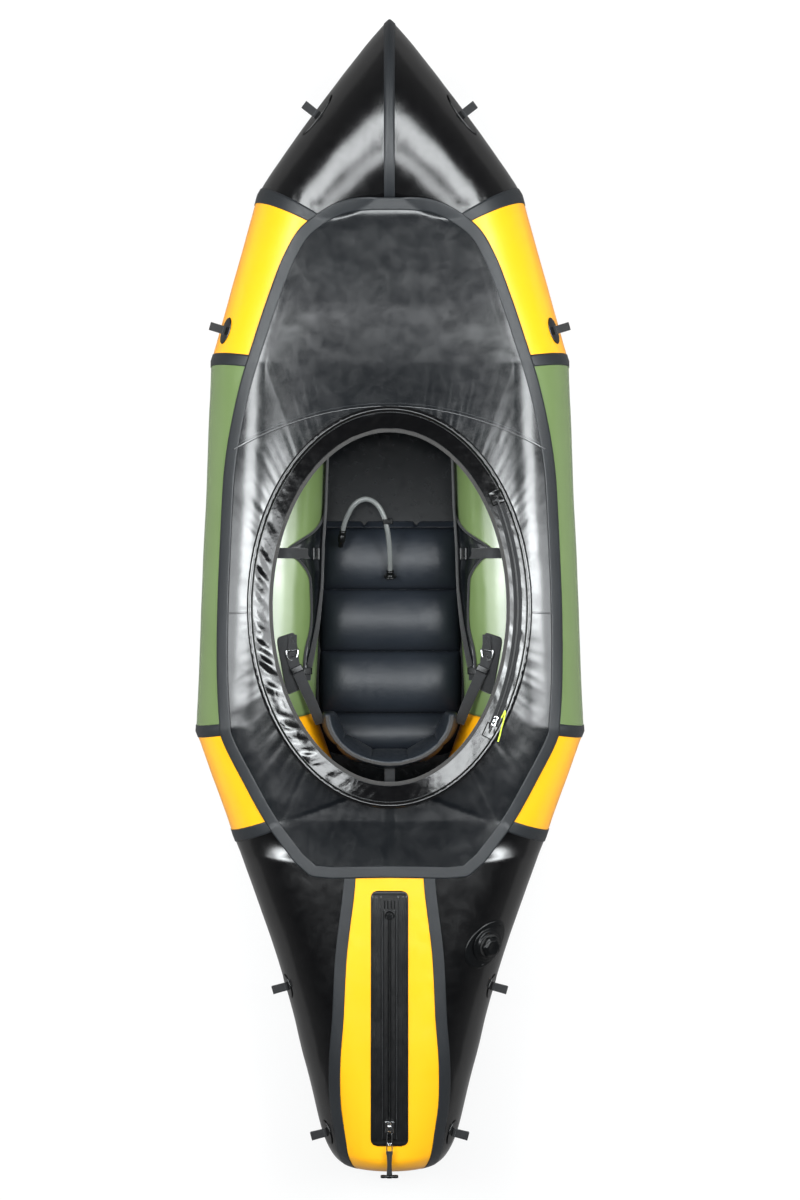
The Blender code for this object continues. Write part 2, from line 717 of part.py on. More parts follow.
def tube_object(name, points, radius, surface, cyclic=False, resolution=2):
    """A round cord or wire along points, with filled ends."""
    curve = bpy.data.curves.new(name, "CURVE")
    curve.dimensions = "3D"
    curve.bevel_depth = radius
    curve.bevel_resolution = resolution
    curve.use_fill_caps = True
    spline = curve.splines.new("POLY")
    spline.points.add(len(points) - 1)
    for target, point in zip(spline.points, points):
        target.co = (*point, 1.0)
    spline.use_cyclic_u = cyclic
    made = bpy.data.objects.new(name, curve)
    bpy.context.scene.collection.objects.link(made)
    curve.materials.append(surface)
    return made


def make_collar():
    """The flared collar, and the rod in its outer welt."""
    turns = circle_angles(RIM_COLUMNS)
    reach = COLLAR_FLARE - ROD_RADIUS - 2 * GAP
    rows = []
    for share in STEP_SHARES:
        out = reach * share
        rows.append([rim_point(a, out, COLLAR_RISE * out / COLLAR_FLARE) for a in turns])
    sheet("coaming_collar", rows, COLLAR_SKIN, COLLAR_BLACK, closed=True, inside=BELOW)
    rod = [rim_point(a, COLLAR_FLARE, COLLAR_RISE) for a in turns]
    tube_object("coaming_rod", rod, ROD_RADIUS, COLLAR_BLACK, cyclic=True)


def collar_top(x, y):
    """The height of the collar's upper face."""
    low, high = -COLLAR_FLARE, 2 * COLLAR_FLARE
    for _ in range(HALVINGS):
        out = (low + high) / 2
        oval = (x / (RIM_HALF_WIDTH + out)) ** 2 + ((y - RIM_Y) / (RIM_HALF_LENGTH + out)) ** 2
        low, high = (out, high) if oval > 1 else (low, out)
    return RIM_Z + COLLAR_RISE * low / COLLAR_FLARE + COLLAR_SKIN


def arc_point(angle, out=0.0):
    reach = RIM_ZIP_REACH + out
    return ZIP_CENTRE + Vector((reach * math.cos(angle), reach * math.sin(angle), 0))


def make_rim_zip():
    """The collar's zip: its tape along an arc, and the slider with its neon cord."""
    rows = []
    for i in range(RIM_ZIP_STEPS + 1):
        angle = RIM_ZIP_START + (RIM_ZIP_END - RIM_ZIP_START) * i / RIM_ZIP_STEPS
        row = []
        for share in EDGE_SHARES:
            place = arc_point(angle, share * RIM_ZIP_WIDTH)
            place.z = collar_top(place.x, place.y) + RIM_ZIP_LIFT
            row.append(place)
        rows.append(row)
    sheet("coaming_zip_tape", rows, TAPE, WEBBING_BLACK, inside=BELOW)
    place = arc_point(RIM_SLIDER_ANGLE)
    place.z = collar_top(place.x, place.y) + RIM_ZIP_LIFT + TAPE + GAP
    radial = Vector((math.cos(RIM_SLIDER_ANGLE), math.sin(RIM_SLIDER_ANGLE), 0))
    tangent = Vector((-radial.y, radial.x, 0))
    tilt = math.atan2(COLLAR_RISE, COLLAR_FLARE)
    across = radial * math.cos(tilt) + Vector((0, 0, math.sin(tilt)))
    up = across.cross(tangent)
    width, length, height = RIM_SLIDER_SIZE
    middle = place + up * (height / 2 + RIM_CORD_RADIUS / 2)
    body = block("coaming_zip_slider", middle, (across, tangent, up),
                 (width, length, height), STEEL)
    start = middle + up * height / 4
    cord = [start + tangent * (length / 4 - RIM_CORD_LENGTH * share) + up * height * lift
            + across * RIM_CORD_LENGTH * side for share, lift, side in RIM_CORD_SHARES]
    tool = tube_object("rim_cord_tool", cord, RIM_CORD_RADIUS, NEON)
    join_to(body, tool)


def block(name, middle, axes, size, surface, bevel=BLOCK_BEVEL):
    """A box with small bevels, set on three axes of its own."""
    shape = bmesh.new()
    bmesh.ops.create_cube(shape, size=1.0)
    turn = Matrix([[axis[i] for axis in axes] + [0] for i in range(3)] + [[0, 0, 0, 1]])
    scale = Matrix.Diagonal((*size, 1.0))
    bmesh.ops.transform(shape, matrix=Matrix.Translation(middle) @ turn @ scale, verts=shape.verts)
    bmesh.ops.recalc_face_normals(shape, faces=shape.faces)
    mesh = bpy.data.meshes.new(name)
    shape.to_mesh(mesh)
    shape.free()
    made = add_object(name, mesh, surface)
    if bevel:
        edge = made.modifiers.new("edges", "BEVEL")
        edge.width = bevel
        edge.segments = 1
    return made


def meshed(made):
    """The same shape as a mesh object, in place of a curve object."""
    bpy.context.view_layer.update()
    graph = bpy.context.evaluated_depsgraph_get()
    mesh = bpy.data.meshes.new_from_object(made.evaluated_get(graph))
    name = made.name
    bpy.data.objects.remove(made)
    shape = bmesh.new()
    shape.from_mesh(mesh)
    bmesh.ops.remove_doubles(shape, verts=shape.verts, dist=MICRO)
    bmesh.ops.recalc_face_normals(shape, faces=shape.faces)
    shape.to_mesh(mesh)
    shape.free()
    fresh = bpy.data.objects.new(name, mesh)
    bpy.context.scene.collection.objects.link(fresh)
    return fresh


def join_to(target, tool):
    """Fuse a hidden shape into an object as one body."""
    if tool.type == "CURVE":
        tool = meshed(tool)
    tool.hide_render = True
    tool.display_type = "WIRE"
    union = target.modifiers.new("join", "BOOLEAN")
    union.operation = "UNION"
    union.object = tool


def pad_half_width(back):
    """The pad's half width some way back from its front edge."""
    corner = PAD_CORNER_SHARE * PAD_HALF_WIDTH
    near = min(back + corner / 2, PAD_LENGTH - back, corner)
    rounded = corner - math.sqrt(max(0.0, corner ** 2 - (corner - near) ** 2))
    return PAD_HALF_WIDTH - rounded - PAD_DRAW_IN * (1 - pad_crown(back))


def pad_crown(back):
    """One at the middle of a channel, falling to nothing at its welds."""
    back = min(max(back, 0.0), PAD_LENGTH)
    for start, end in zip(PAD_WELDS, PAD_WELDS[1:]):
        if back <= end:
            place = 2 * (back - start) / (end - start) - 1
            return math.sqrt(max(0.0, 1 - place ** 2))
    return 0.0


def pad_top(x, y):
    back = PAD_FRONT - y
    across = min(1.0, abs(x) / pad_half_width(back))
    rise = PAD_WELD_SHARE + (1 - PAD_WELD_SHARE) * pad_crown(back)
    side = math.sqrt(1 - across ** SIDE_POWER)
    return FLOOR_TOP + PAD_EDGE + (PAD_HEIGHT - PAD_EDGE) * rise * side


def make_pad():
    """The seat pad: four crowned channels between welds, over a flat underside."""
    shape = bmesh.new()
    per_channel = PAD_ROWS // (len(PAD_WELDS) - 1)
    backs = [0.0]
    for start, end in zip(PAD_WELDS, PAD_WELDS[1:]):
        for i in range(1, per_channel + 1):
            share = (1 - math.cos(math.pi * i / per_channel)) / 2
            backs.append(start + (end - start) * share)
    grid = []
    for back in backs:
        y = PAD_FRONT - back
        half = pad_half_width(back)
        row = []
        for i in range(PAD_COLUMNS + 1):
            x = half * math.sin(math.pi * (i / PAD_COLUMNS - 0.5))
            row.append(shape.verts.new((x, y, pad_top(x, y))))
        grid.append(row)
    for upper, lower in zip(grid, grid[1:]):
        for i in range(PAD_COLUMNS):
            shape.faces.new((upper[i], lower[i], lower[i + 1], upper[i + 1]))
    edges = [e for e in shape.edges if e.is_boundary]
    made = bmesh.ops.extrude_edge_only(shape, edges=edges)
    low = [v for v in made["geom"] if isinstance(v, bmesh.types.BMVert)]
    for vert in low:
        vert.co.z = FLOOR_TOP
    rim = [e for e in shape.edges if e.is_boundary]
    bmesh.ops.contextual_create(shape, geom=rim)
    bmesh.ops.recalc_face_normals(shape, faces=shape.faces)
    mesh = bpy.data.meshes.new("seat_pad")
    shape.to_mesh(mesh)
    shape.free()
    add_object("seat_pad", mesh, SEAT_BLACK)


def back_point(turn, rise, side):
    """A point of the backrest: turn round its U, share of its height, and face."""
    x = BACK_HALF_WIDTH * math.sin(turn)
    y = BACK_Y + BACK_DEPTH * (1 - math.cos(turn))
    low = BACK_BOTTOM + math.tan(BACK_LIFT_ANGLE) * (y - BACK_Y)
    high = BACK_TOP - BACK_WING_DROP * (1 - math.cos(turn))
    cell = (turn / BACK_RANGE + 1) / 2 * BACK_CELLS
    place = 2 * (cell - math.floor(min(cell, BACK_CELLS - MICRO))) - 1
    crown = BACK_WELD_SHARE + (1 - BACK_WELD_SHARE) * math.sqrt(max(0.0, 1 - place ** 2))
    round_off = math.sqrt(max(0.0, 1 - (2 * rise - 1) ** BACK_EDGE_POWER))
    half = BACK_EDGE / 2 + (BACK_THICKNESS - BACK_EDGE) / 2 * crown * round_off
    normal = Vector((math.sin(turn) * BACK_DEPTH, -math.cos(turn) * BACK_HALF_WIDTH, 0))
    normal.normalize()
    return Vector((x, y, low + (high - low) * rise)) + normal * half * side


def make_backrest():
    """The backrest: a U of upright welded cells, whose wings rise from the pad."""
    turns = [BACK_RANGE * (2 * i / BACK_COLUMNS - 1) for i in range(BACK_COLUMNS + 1)]
    rises = [(1 - math.cos(math.pi * i / BACK_ROWS)) / 2 for i in range(BACK_ROWS + 1)]
    rows = []
    for turn in turns:
        front = [back_point(turn, r, -1) for r in rises]
        rear = [back_point(turn, r, 1) for r in reversed(rises)]
        rows.append(front + rear)
    mesh = grid_mesh("backrest", rows, closed=True)
    shape = bmesh.new()
    shape.from_mesh(mesh)
    edges = [e for e in shape.edges if e.is_boundary]
    bmesh.ops.holes_fill(shape, edges=edges, sides=4 * BACK_ROWS)
    for vert in shape.verts:
        vert.co -= HINGE
    bmesh.ops.recalc_face_normals(shape, faces=shape.faces)
    shape.to_mesh(mesh)
    shape.free()
    made = add_object("backrest", mesh, SEAT_BLACK)
    made.location = HINGE


def hull_point(y, angle, lift=0.0):
    """A point of the right side at a length along the boat and an angle round it."""
    if y <= RINGS[-1].middle.y:
        section = SternSection(y / HULL_LENGTH)
        x = section.flat + (section.round + lift) * math.cos(angle)
        return Vector((x, y, section.middle + (section.height + lift) * math.sin(angle)))
    for first, second in zip(RINGS, RINGS[1:]):
        if y >= second.middle.y:
            share = (first.middle.y - y) / (first.middle.y - second.middle.y)
            return between(first, second, share).point(angle, lift)
    return None


def hull_frame(y, angle, lift):
    """A place on the hull with its along, around and outward directions."""
    step = FRAME_STEP
    place = hull_point(y, angle, lift)
    along = (hull_point(y + step, angle, lift) - place).normalized()
    around = (hull_point(y, angle + step / TUBE_RADIUS, lift) - place).normalized()
    return place, along, around, along.cross(around).normalized()


def patch_rows(y, angle, size, turn=0.0, oval=True, lift=PATCH_LIFT, count=PATCH_STEPS):
    """Rows of points of a patch that follows the hull."""
    rows = []
    for i in range(count + 1):
        row = []
        for j in range(count + 1):
            u, v = 2 * i / count - 1, 2 * j / count - 1
            if oval:
                u, v = u * math.sqrt(1 - v * v / 2), v * math.sqrt(1 - u * u / 2)
            a, b = u * size[1] / 2, v * size[0] / 2
            along = a * math.cos(turn) - b * math.sin(turn)
            around = a * math.sin(turn) + b * math.cos(turn)
            row.append(hull_point(y + along, angle + around / TUBE_RADIUS, lift))
        rows.append(row)
    return rows


def smooth_line(points, steps):
    """Points on a smooth curve through the given ones."""
    line = []
    last = len(points) - 1
    for i in range(last):
        p0, p1 = points[max(0, i - 1)], points[i]
        p2, p3 = points[i + 1], points[min(last, i + 2)]
        for k in range(steps):
            t = k / steps
            line.append([0.5 * (2 * b + (c - a) * t + (2 * a - 5 * b + 4 * c - d) * t ** 2
                                + (3 * b - a - 3 * c + d) * t ** 3)
                         for a, b, c, d in zip(p0, p1, p2, p3)])
    line.append(list(points[-1]))
    return line


def make_straps():
    """Webbing, patches and rings at the sides of the cockpit."""
    y, angle = STRAP_PATCH_PLACE[0] * HULL_LENGTH, STRAP_PATCH_PLACE[1]
    patch = patch_rows(y, angle, STRAP_PATCH, STRAP_PATCH_TURN, oval=False)
    ring_y = y + STRAP_PATCH[1] * RING_SHARE
    lift = PATCH_LIFT + PATCH_SKIN + RING_WIRE + 2 * GAP
    place, along, around, out = hull_frame(ring_y, angle, lift)
    half, deep = RING_SIZE[0] / 2, RING_SIZE[1]
    loop = [(-half, 0.0)]
    loop += [(-half * math.cos(math.pi * i / RING_STEPS), -deep * math.sin(math.pi * i / RING_STEPS))
             for i in range(1, RING_STEPS)]
    loop += [(half, 0.0), (half / 2, 0.0), (0.0, 0.0), (-half / 2, 0.0)]
    path = [(s * HULL_LENGTH, a) for s, a in THIGH_PATH]
    route = smooth_line(path, THIGH_STEPS)
    band = []
    for i, (by, ba) in enumerate(route):
        near = route[min(i + 1, len(route) - 1)], route[max(i - 1, 0)]
        run = Vector((near[0][0] - near[1][0], (near[0][1] - near[1][1]) * TUBE_RADIUS, 0))
        side_way = Vector((-run.y, run.x, 0)).normalized() * THIGH_PAD_WIDTH / 2
        row = []
        for share in BAND_SHARES:
            turn = ba + side_way.y * share / TUBE_RADIUS
            row.append(hull_point(by + side_way.x * share, turn, DECK_LIFT))
        band.append(row)
    half_web = WEBBING_WIDTH / 2
    tip = place - along * (deep + RING_WIRE + 2 * GAP)
    wing = back_point(STRAP_TURN, STRAP_END_RISE_SHARE, 1) + Vector((2 * GAP, 0, 0))
    low = back_point(STRAP_TURN, STRAP_END_RISE_SHARE - STRAP_DROP_SHARE, 1)
    low += Vector((2 * GAP, 0, 0))
    wide = (low - wing).normalized() * half_web
    ends = ((tip + around * half_web * STRAP_TIP_SHARE, tip - around * half_web * STRAP_TIP_SHARE),
            (wing - wide, wing + wide))
    strap = [[ends[0][k].lerp(ends[1][k], i / STRAP_STEPS) for k in (0, 1)]
             for i in range(STRAP_STEPS + 1)]
    for name, side in SIDES:
        inside = Vector((RINGS[2].middle.x * side, 0, BASE))
        rows = [[flip(p, side) for p in row] for row in patch]
        sheet(f"strap_patch_{name}", rows, PATCH_SKIN, BLACK, inside=inside)
        rows = [[flip(p, side) for p in row] for row in band]
        sheet(f"thigh_strap_{name}", rows, THIGH_PAD, SEAT_BLACK, inside=inside, even=False)
        wire = [flip(place + around * a + along * b, side) for a, b in loop]
        origin = flip(place, side)
        ring = tube_object(f"d_ring_{name}", [p - origin for p in wire], RING_WIRE, STEEL,
                           cyclic=True)
        ring.location = origin
        rows = [[flip(p, side) for p in row] for row in strap]
        sheet(f"backrest_strap_{name}", rows, WEBBING, WEBBING_BLACK,
              inside=Vector((0, wing.y, wing.z)))


def make_rear_strap():
    """The short strap from the backrest to the bulkhead behind it."""
    start = back_point(0.0, REAR_STRAP_SHARE, 1)
    rise = math.asin((start.z - BASE) / TUBE_RADIUS)
    wall = RINGS[-1].point(math.pi - rise).y + GAP
    half = REAR_STRAP_WIDTH / 2
    rows = [[Vector((half * s, start.y - GAP + (wall + GAP - start.y) * i / REAR_STEPS,
                     start.z))
             for s in (-1, 1)] for i in range(REAR_STEPS + 1)]
    sheet("backrest_rear_strap", rows, WEBBING, WEBBING_BLACK, inside=BELOW)


def turned(name, profile, place, axis, surface, sides=CYLINDER_SIDES):
    """A solid of revolution: profile pairs of radius and height, along an axis."""
    shape = bmesh.new()
    turn = Vector((0, 0, 1)).rotation_difference(axis).to_matrix()
    rings = []
    for radius, height in profile:
        ring = []
        for i in range(sides):
            spoke = 2 * math.pi * i / sides
            local = Vector((radius * math.cos(spoke), radius * math.sin(spoke), height))
            ring.append(shape.verts.new(turn @ local))
        rings.append(ring)
    for low, high in zip(rings, rings[1:]):
        for i in range(sides):
            j = (i + 1) % sides
            shape.faces.new((low[i], low[j], high[j], high[i]))
    if profile[0] != profile[-1]:
        shape.faces.new(list(reversed(rings[0])))
        shape.faces.new(rings[-1])
    else:
        bmesh.ops.remove_doubles(shape, verts=shape.verts, dist=MICRO)
    bmesh.ops.recalc_face_normals(shape, faces=shape.faces)
    mesh = bpy.data.meshes.new(name)
    shape.to_mesh(mesh)
    shape.free()
    made = add_object(name, mesh, surface)
    made.location = place
    return made


def make_hose():
    """The nipple welded on the pad, the free hose and its mouthpiece."""
    axis = Vector((0, math.cos(NIPPLE_TILT), math.sin(NIPPLE_TILT)))
    place = Vector((0, NIPPLE_SHARE * HULL_LENGTH, 0))
    side_way, up_way = Vector((1, 0, 0)), Vector((1, 0, 0)).cross(axis)
    need = 0.0
    for i in range(CYLINDER_SIDES):
        spoke = 2 * math.pi * i / CYLINDER_SIDES
        rim = side_way * math.cos(spoke) + up_way * math.sin(spoke)
        for share in STEP_SHARES:
            point = place + rim * NIPPLE_RADIUS + axis * NIPPLE_HEIGHT * share
            need = max(need, pad_top(point.x, point.y) + GAP - point.z)
    place.z = need
    turned("hose_nipple", ((NIPPLE_RADIUS, 0.0), (NIPPLE_RADIUS, NIPPLE_HEIGHT * NECK_SHARE),
                           (HOSE_RADIUS, NIPPLE_HEIGHT)), place, axis, PLASTIC)
    start = place + axis * (NIPPLE_HEIGHT + GAP)
    points = [start, start + axis * HOSE_LEAD_RADII * HOSE_RADIUS] + [Vector(p) for p in HOSE_ROUTE]
    line = [Vector(p) for p in smooth_line(points, HOSE_STEPS)]
    tube_object("inflation_hose", line, HOSE_RADIUS, CLEAR_HOSE)
    end = (line[-1] - line[-2]).normalized()
    profile = ((HOSE_RADIUS, 0.0), (MOUTHPIECE_RADIUS, MOUTHPIECE_LENGTH * TAPER_SHARE),
               (MOUTHPIECE_RADIUS, MOUTHPIECE_LENGTH * (1 - TAPER_SHARE)), (HOSE_RADIUS, MOUTHPIECE_LENGTH))
    turned("hose_mouthpiece", profile, line[-1] + end * GAP, end, PLASTIC)


def make_panel_tape():
    """Tape round the stern's top panel: down both seams and across its end."""
    start_y = SEAM[-1].y - TAPE_WIDTH / 2 - GAP
    sections = [s for s in STERN if s.y < start_y - FRAME_STEP]
    first = SternSection(start_y / HULL_LENGTH)
    rows = []
    for section in [first] + sections[:-PANEL_TAPE_SKIP]:
        row = []
        for share in EDGE_SHARES:
            x = section.seam + TAPE_WIDTH * share
            row.append(section.surface(x, lift=DECK_LIFT + GAP))
        rows.append(row)
    for name, side in SIDES:
        sheet(f"stern_panel_tape_{name}", [[flip(p, side) for p in row] for row in rows],
              TAPE, TAPE_GREY, inside=BELOW, even=False)


def make_valve():
    """The inflation valve: a ring on its welded flange, and a cap with its gasket."""
    x, y = plan(VALVE_PLACE_SHARES).xy
    section = SternSection(y / HULL_LENGTH)
    angle = math.acos((x - section.flat) / section.round)
    size = (2 * VALVE_PATCH_RADIUS, 2 * VALVE_PATCH_RADIUS)
    body = sheet("valve_body", patch_rows(y, angle, size), PATCH_SKIN, BLACK,
                 inside=Vector((0, y, BASE)), even=False)
    place, along, around, out = hull_frame(y, angle, PATCH_LIFT + PATCH_SKIN / 2)
    bore = VALVE_BORE
    ring = ((bore, 0.0), (VALVE_RING_RADIUS, 0.0), (VALVE_RING_RADIUS, VALVE_STEP),
            (VALVE_COLLAR, VALVE_STEP), (VALVE_COLLAR, VALVE_RING_HEIGHT),
            (bore, VALVE_RING_HEIGHT), (bore, 0.0))
    join_to(body, turned("valve_ring_tool", ring, place, out, PLASTIC, VALVE_SIDES))
    seat = place + out * (VALVE_RING_HEIGHT + GAP)
    gasket = ((CAP_STEM + GAP, 0.0), (VALVE_COLLAR - VALVE_LIP, 0.0),
              (VALVE_COLLAR - VALVE_LIP, GASKET_HEIGHT), (CAP_STEM + GAP, GASKET_HEIGHT),
              (CAP_STEM + GAP, 0.0))
    turned("valve_gasket", gasket, seat, out, RUBBER, VALVE_SIDES)
    top = GASKET_HEIGHT + GAP
    cap = ((CAP_STEM - GAP, GAP - VALVE_RING_HEIGHT), (CAP_STEM - GAP, top), (CAP_RADIUS, top),
           (CAP_RADIUS, top + CAP_HEIGHT * CAP_RIM_SHARE),
           (CAP_RADIUS * CAP_GRIP_SHARE, top + CAP_HEIGHT * CAP_RIM_SHARE),
           (CAP_RADIUS * CAP_TOP_SHARE, top + CAP_HEIGHT))
    turned("valve_cap", cap, seat, out, PLASTIC, CAP_SIDES)


def zip_line(share):
    """A point of the cargo zip's middle line on the panel, and the way along it."""
    first = SternSection((SEAM[-1].y - ZIP_START) / HULL_LENGTH).surface(0.0)
    last = SternSection((SEAM[-1].y - ZIP_START - ZIP_LENGTH) / HULL_LENGTH).surface(0.0)
    return first.lerp(last, share), (first - last).normalized()


def make_cargo_zip():
    """The cargo zip: its base plate, chain, slider and a hinged pull with a T-bar."""
    rows = []
    for i in range(ZIP_STEPS + 1):
        place, way = zip_line(i / ZIP_STEPS)
        section = SternSection(place.y / HULL_LENGTH)
        rows.append([section.surface(ZIP_HALF_WIDTH * s, lift=PATCH_LIFT)
                     for s in ZIP_BASE_SHARES])
    sheet("zip_base", rows, ZIP_PLATE, PLASTIC, inside=BELOW, even=False)
    start, way = zip_line(0.0)
    end, way = zip_line(1.0)
    across, up = Vector((1, 0, 0)), Vector((1, 0, 0)).cross(way)
    length = ZIP_LENGTH - 2 * ZIP_END_MARGIN
    level = PATCH_LIFT + ZIP_PLATE + 2 * GAP
    middle = (start + end) / 2 + up * (level + ZIP_CHAIN_HEIGHT / 2)
    block("zip_chain", middle, (across, way, up),
          (ZIP_CHAIN_WIDTH, length, ZIP_CHAIN_HEIGHT), PLASTIC)
    top = level + ZIP_CHAIN_HEIGHT + GAP
    width, deep, high = SLIDER_SIZE
    place = end + way * SLIDER_BACK + up * (top + high / 2)
    block("zip_slider", place, (across, way, up), SLIDER_SIZE, STEEL, bevel=SLIDER_BEVEL)
    pin = place - way * (deep / 2 + GAP + math.hypot(PULL_NOSE, PULL_STRAP[2] / 2))
    strap = PULL_STRAP[1]
    body = block("zip_pull", Vector(), (across, way, up),
                 (PULL_STRAP[0], strap, PULL_STRAP[2]), WEBBING_BLACK, bevel=0.0)
    body.data.transform(Matrix.Translation(way * (PULL_NOSE - strap / 2)))
    bar = turned("pull_bar_tool", ((PULL_BAR_RADIUS, -PULL_BAR_LENGTH / 2),
                                   (PULL_BAR_RADIUS, PULL_BAR_LENGTH / 2)),
                 pin - way * strap, across, PLASTIC, sides=BAR_SIDES)
    body.location = pin
    join_to(body, bar)
    return pin


def make_tie_loops():
    """Eight webbing loops, each on an oval patch, in pairs down the hull."""
    for place_name, share, angle in TIE_PLACES:
        y = share * HULL_LENGTH
        lift = PATCH_LIFT + PATCH_SKIN / 2
        place, along, around, out = hull_frame(y, angle, lift)
        rows = patch_rows(y, angle, TIE_PATCH, count=TIE_PATCH_STEPS)
        way = (out * math.cos(TIE_LEAN) - around * math.sin(TIE_LEAN)).normalized()
        thick = way.cross(along).normalized()
        for name, side in SIDES:
            inside = Vector((0, y, BASE))
            patch = sheet(f"tie_loop_{place_name}_{name}", [[flip(p, side) for p in row]
                          for row in rows], PATCH_SKIN, BLACK, inside=inside, even=False)
            axes = [flip(v, side) for v in (along, way, thick)]
            middle = flip(place + way * TIE_LENGTH / 2, side)
            tool = block(f"tie_tool_{place_name}_{name}", middle, axes,
                         (TIE_WIDTH, TIE_LENGTH, WEBBING), WEBBING_BLACK, bevel=0.0)
            join_to(patch, tool)


make_hull_runs()
make_stern()
make_floor()
make_deck()
make_edge_tape()
make_joint_tapes()
make_bow_tape()
make_collar()
make_rim_zip()
make_pad()
make_backrest()
make_straps()
make_rear_strap()
make_hose()
make_panel_tape()
make_valve()
make_cargo_zip()
make_tie_loops()
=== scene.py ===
import math

import bpy
import bmesh
import numpy as np
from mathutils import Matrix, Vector


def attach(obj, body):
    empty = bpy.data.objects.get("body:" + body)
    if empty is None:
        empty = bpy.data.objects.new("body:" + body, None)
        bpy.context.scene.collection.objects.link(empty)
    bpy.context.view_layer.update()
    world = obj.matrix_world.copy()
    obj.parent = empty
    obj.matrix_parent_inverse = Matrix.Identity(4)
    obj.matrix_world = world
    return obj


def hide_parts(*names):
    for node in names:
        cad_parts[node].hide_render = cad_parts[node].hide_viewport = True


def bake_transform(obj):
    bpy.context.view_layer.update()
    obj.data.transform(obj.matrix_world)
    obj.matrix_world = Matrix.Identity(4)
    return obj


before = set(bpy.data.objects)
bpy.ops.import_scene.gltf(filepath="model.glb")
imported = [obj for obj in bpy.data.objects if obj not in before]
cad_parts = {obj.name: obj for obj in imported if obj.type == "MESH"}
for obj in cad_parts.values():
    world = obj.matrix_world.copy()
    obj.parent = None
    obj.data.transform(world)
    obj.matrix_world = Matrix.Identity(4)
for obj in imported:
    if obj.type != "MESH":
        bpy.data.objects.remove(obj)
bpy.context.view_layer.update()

WORLD_UP = np.array([0.0, 0.0, 1.0])


def new_object(name, data):
    """An object with that data, linked to the scene."""
    made = bpy.data.objects.new(name, data)
    bpy.context.scene.collection.objects.link(made)
    return made


def unit(vectors):
    """Each vector divided by its length."""
    return vectors / np.linalg.norm(vectors, axis=-1, keepdims=True)


# ------------------------------------------------------------------ camera

# The photograph looks straight down from 4.2 m, a little right of the middle line
CAMERA_PLACE = (0.025, 0.0, 4.2)
SENSOR = 36.0
FOCAL_PIXELS = 1623.9
FRAME_PIXELS = 1200
eye = bpy.data.cameras.new("camera")
eye.sensor_fit = "VERTICAL"
eye.sensor_height = SENSOR
eye.lens = SENSOR * FOCAL_PIXELS / FRAME_PIXELS
camera = new_object("camera", eye)
camera.location = CAMERA_PLACE
bpy.context.scene.camera = camera

# ------------------------------------------------------------------ shared shapes

TUBE_RADIUS = 0.147
BASE = 0.1488
RIM_Y = -0.01702
RIM_Z = 0.3103
RIM_HALF = np.array([0.2825, 0.4215])
FLARE = 0.0505
FLARE_RISE = 0.024
TAPE_WIDTH = 0.028
TAPE_THICK = 0.0008
WEB_THICK = 0.0022
BOW_SWELL = 0.013  # how far the bow's outer side bulges beyond its straight run

# Mitres of the right tube from bow to stern: middle, and half axis to its outer side
MIDDLES = np.array([(0.0, 1.16504, 0.2638), (0.19526, 0.91693, 0.1908),
                    (0.29874, 0.56856, 0.1488), (0.33445, -0.30238, 0.1488),
                    (0.25221, -0.53149, 0.1488)])
OUTS = np.array([(0.0, 0.23498, 0.0), (0.13284, 0.06906, 0.0), (0.14613, 0.02431, 0.0),
                 (0.14805, -0.02265, 0.0), (0.13765, -0.05162, 0.0)])
RUN_LENGTHS = np.linalg.norm(np.diff(MIDDLES, axis=0), axis=1)
STERN_MITRE = MIDDLES[4, 1]

# Stern: place along the boat, half width of the body and of its top panel
STERN = np.array([(-0.5315, 0.4085, 0.0925), (-0.62496, 0.37201, 0.09409),
                  (-0.70029, 0.34402, 0.09795), (-0.84983, 0.29046, 0.1158),
                  (-0.99994, 0.24463, 0.12352), (-1.1001, 0.21954, 0.13124),
                  (-1.19998, 0.193, 0.13124), (-1.28005, 0.1737, 0.12062),
                  (-1.32497, 0.15923, 0.11387), (-1.36013, 0.13896, 0.10277),
                  (-1.38244, 0.11339, 0.09023), (-1.38998, 0.08685, 0.07237)])
STERN_START = -0.62496
STERN_TAIL = -1.38998
STERN_RISE = 0.05
TAIL_ROUND = 0.0647

# The deck's seam down the right side in plan, from bow centre to stern centre
SEAM = np.array([(0.0, 0.93995), (0.10712, 0.93102), (0.19204, 0.8861), (0.23884, 0.81887),
                 (0.2784, 0.72205), (0.31218, 0.62608), (0.34354, 0.5301),
                 (0.36766, 0.43301), (0.38455, 0.33703), (0.39276, 0.24106),
                 (0.40337, 0.0), (0.40482, -0.16907), (0.39854, -0.28904),
                 (0.39083, -0.33703), (0.34113, -0.43301), (0.28564, -0.5301),
                 (0.21954, -0.61799), (0.18335, -0.65007), (0.13993, -0.65425),
                 (0.0, -0.65202)])


# The noise lattice is turned askew, so that no fold follows the boat's axes
LATTICE_TURN = np.linalg.qr(np.random.default_rng(7).normal(size=(3, 3)))[0]


def noise(points, size, seed):
    """Value noise: random heights on a lattice of cells of that size, eased between them."""
    table = np.random.default_rng(seed).uniform(-1, 1, (32, 32, 32))
    place = np.asarray(points) @ LATTICE_TURN / size + 64.0
    cell = np.floor(place).astype(int)
    part = place - cell
    part = part * part * (3 - 2 * part)
    total = 0.0
    for corner in np.ndindex(2, 2, 2):
        weight = np.prod(np.where(corner, part, 1 - part), axis=-1)
        index = (cell + corner) % 32
        total = total + weight * table[index[..., 0], index[..., 1], index[..., 2]]
    return total


def folded(points, size, seed):
    """Sharp folds: one less twice the size of the noise, so that its zeros are ridges."""
    return 1 - 2 * np.abs(noise(points, size, seed))


def grid_of(u, v):
    return np.meshgrid(u, v, indexing="ij")


def full_turn(count):
    """Angles spread evenly round a circle."""
    return np.linspace(0, 2 * math.pi, count, endpoint=False)


def stacked(x, y, z):
    return np.stack(np.broadcast_arrays(x, y, z), axis=-1)


def mirrored(grid):
    return grid * np.array([-1.0, 1.0, 1.0])


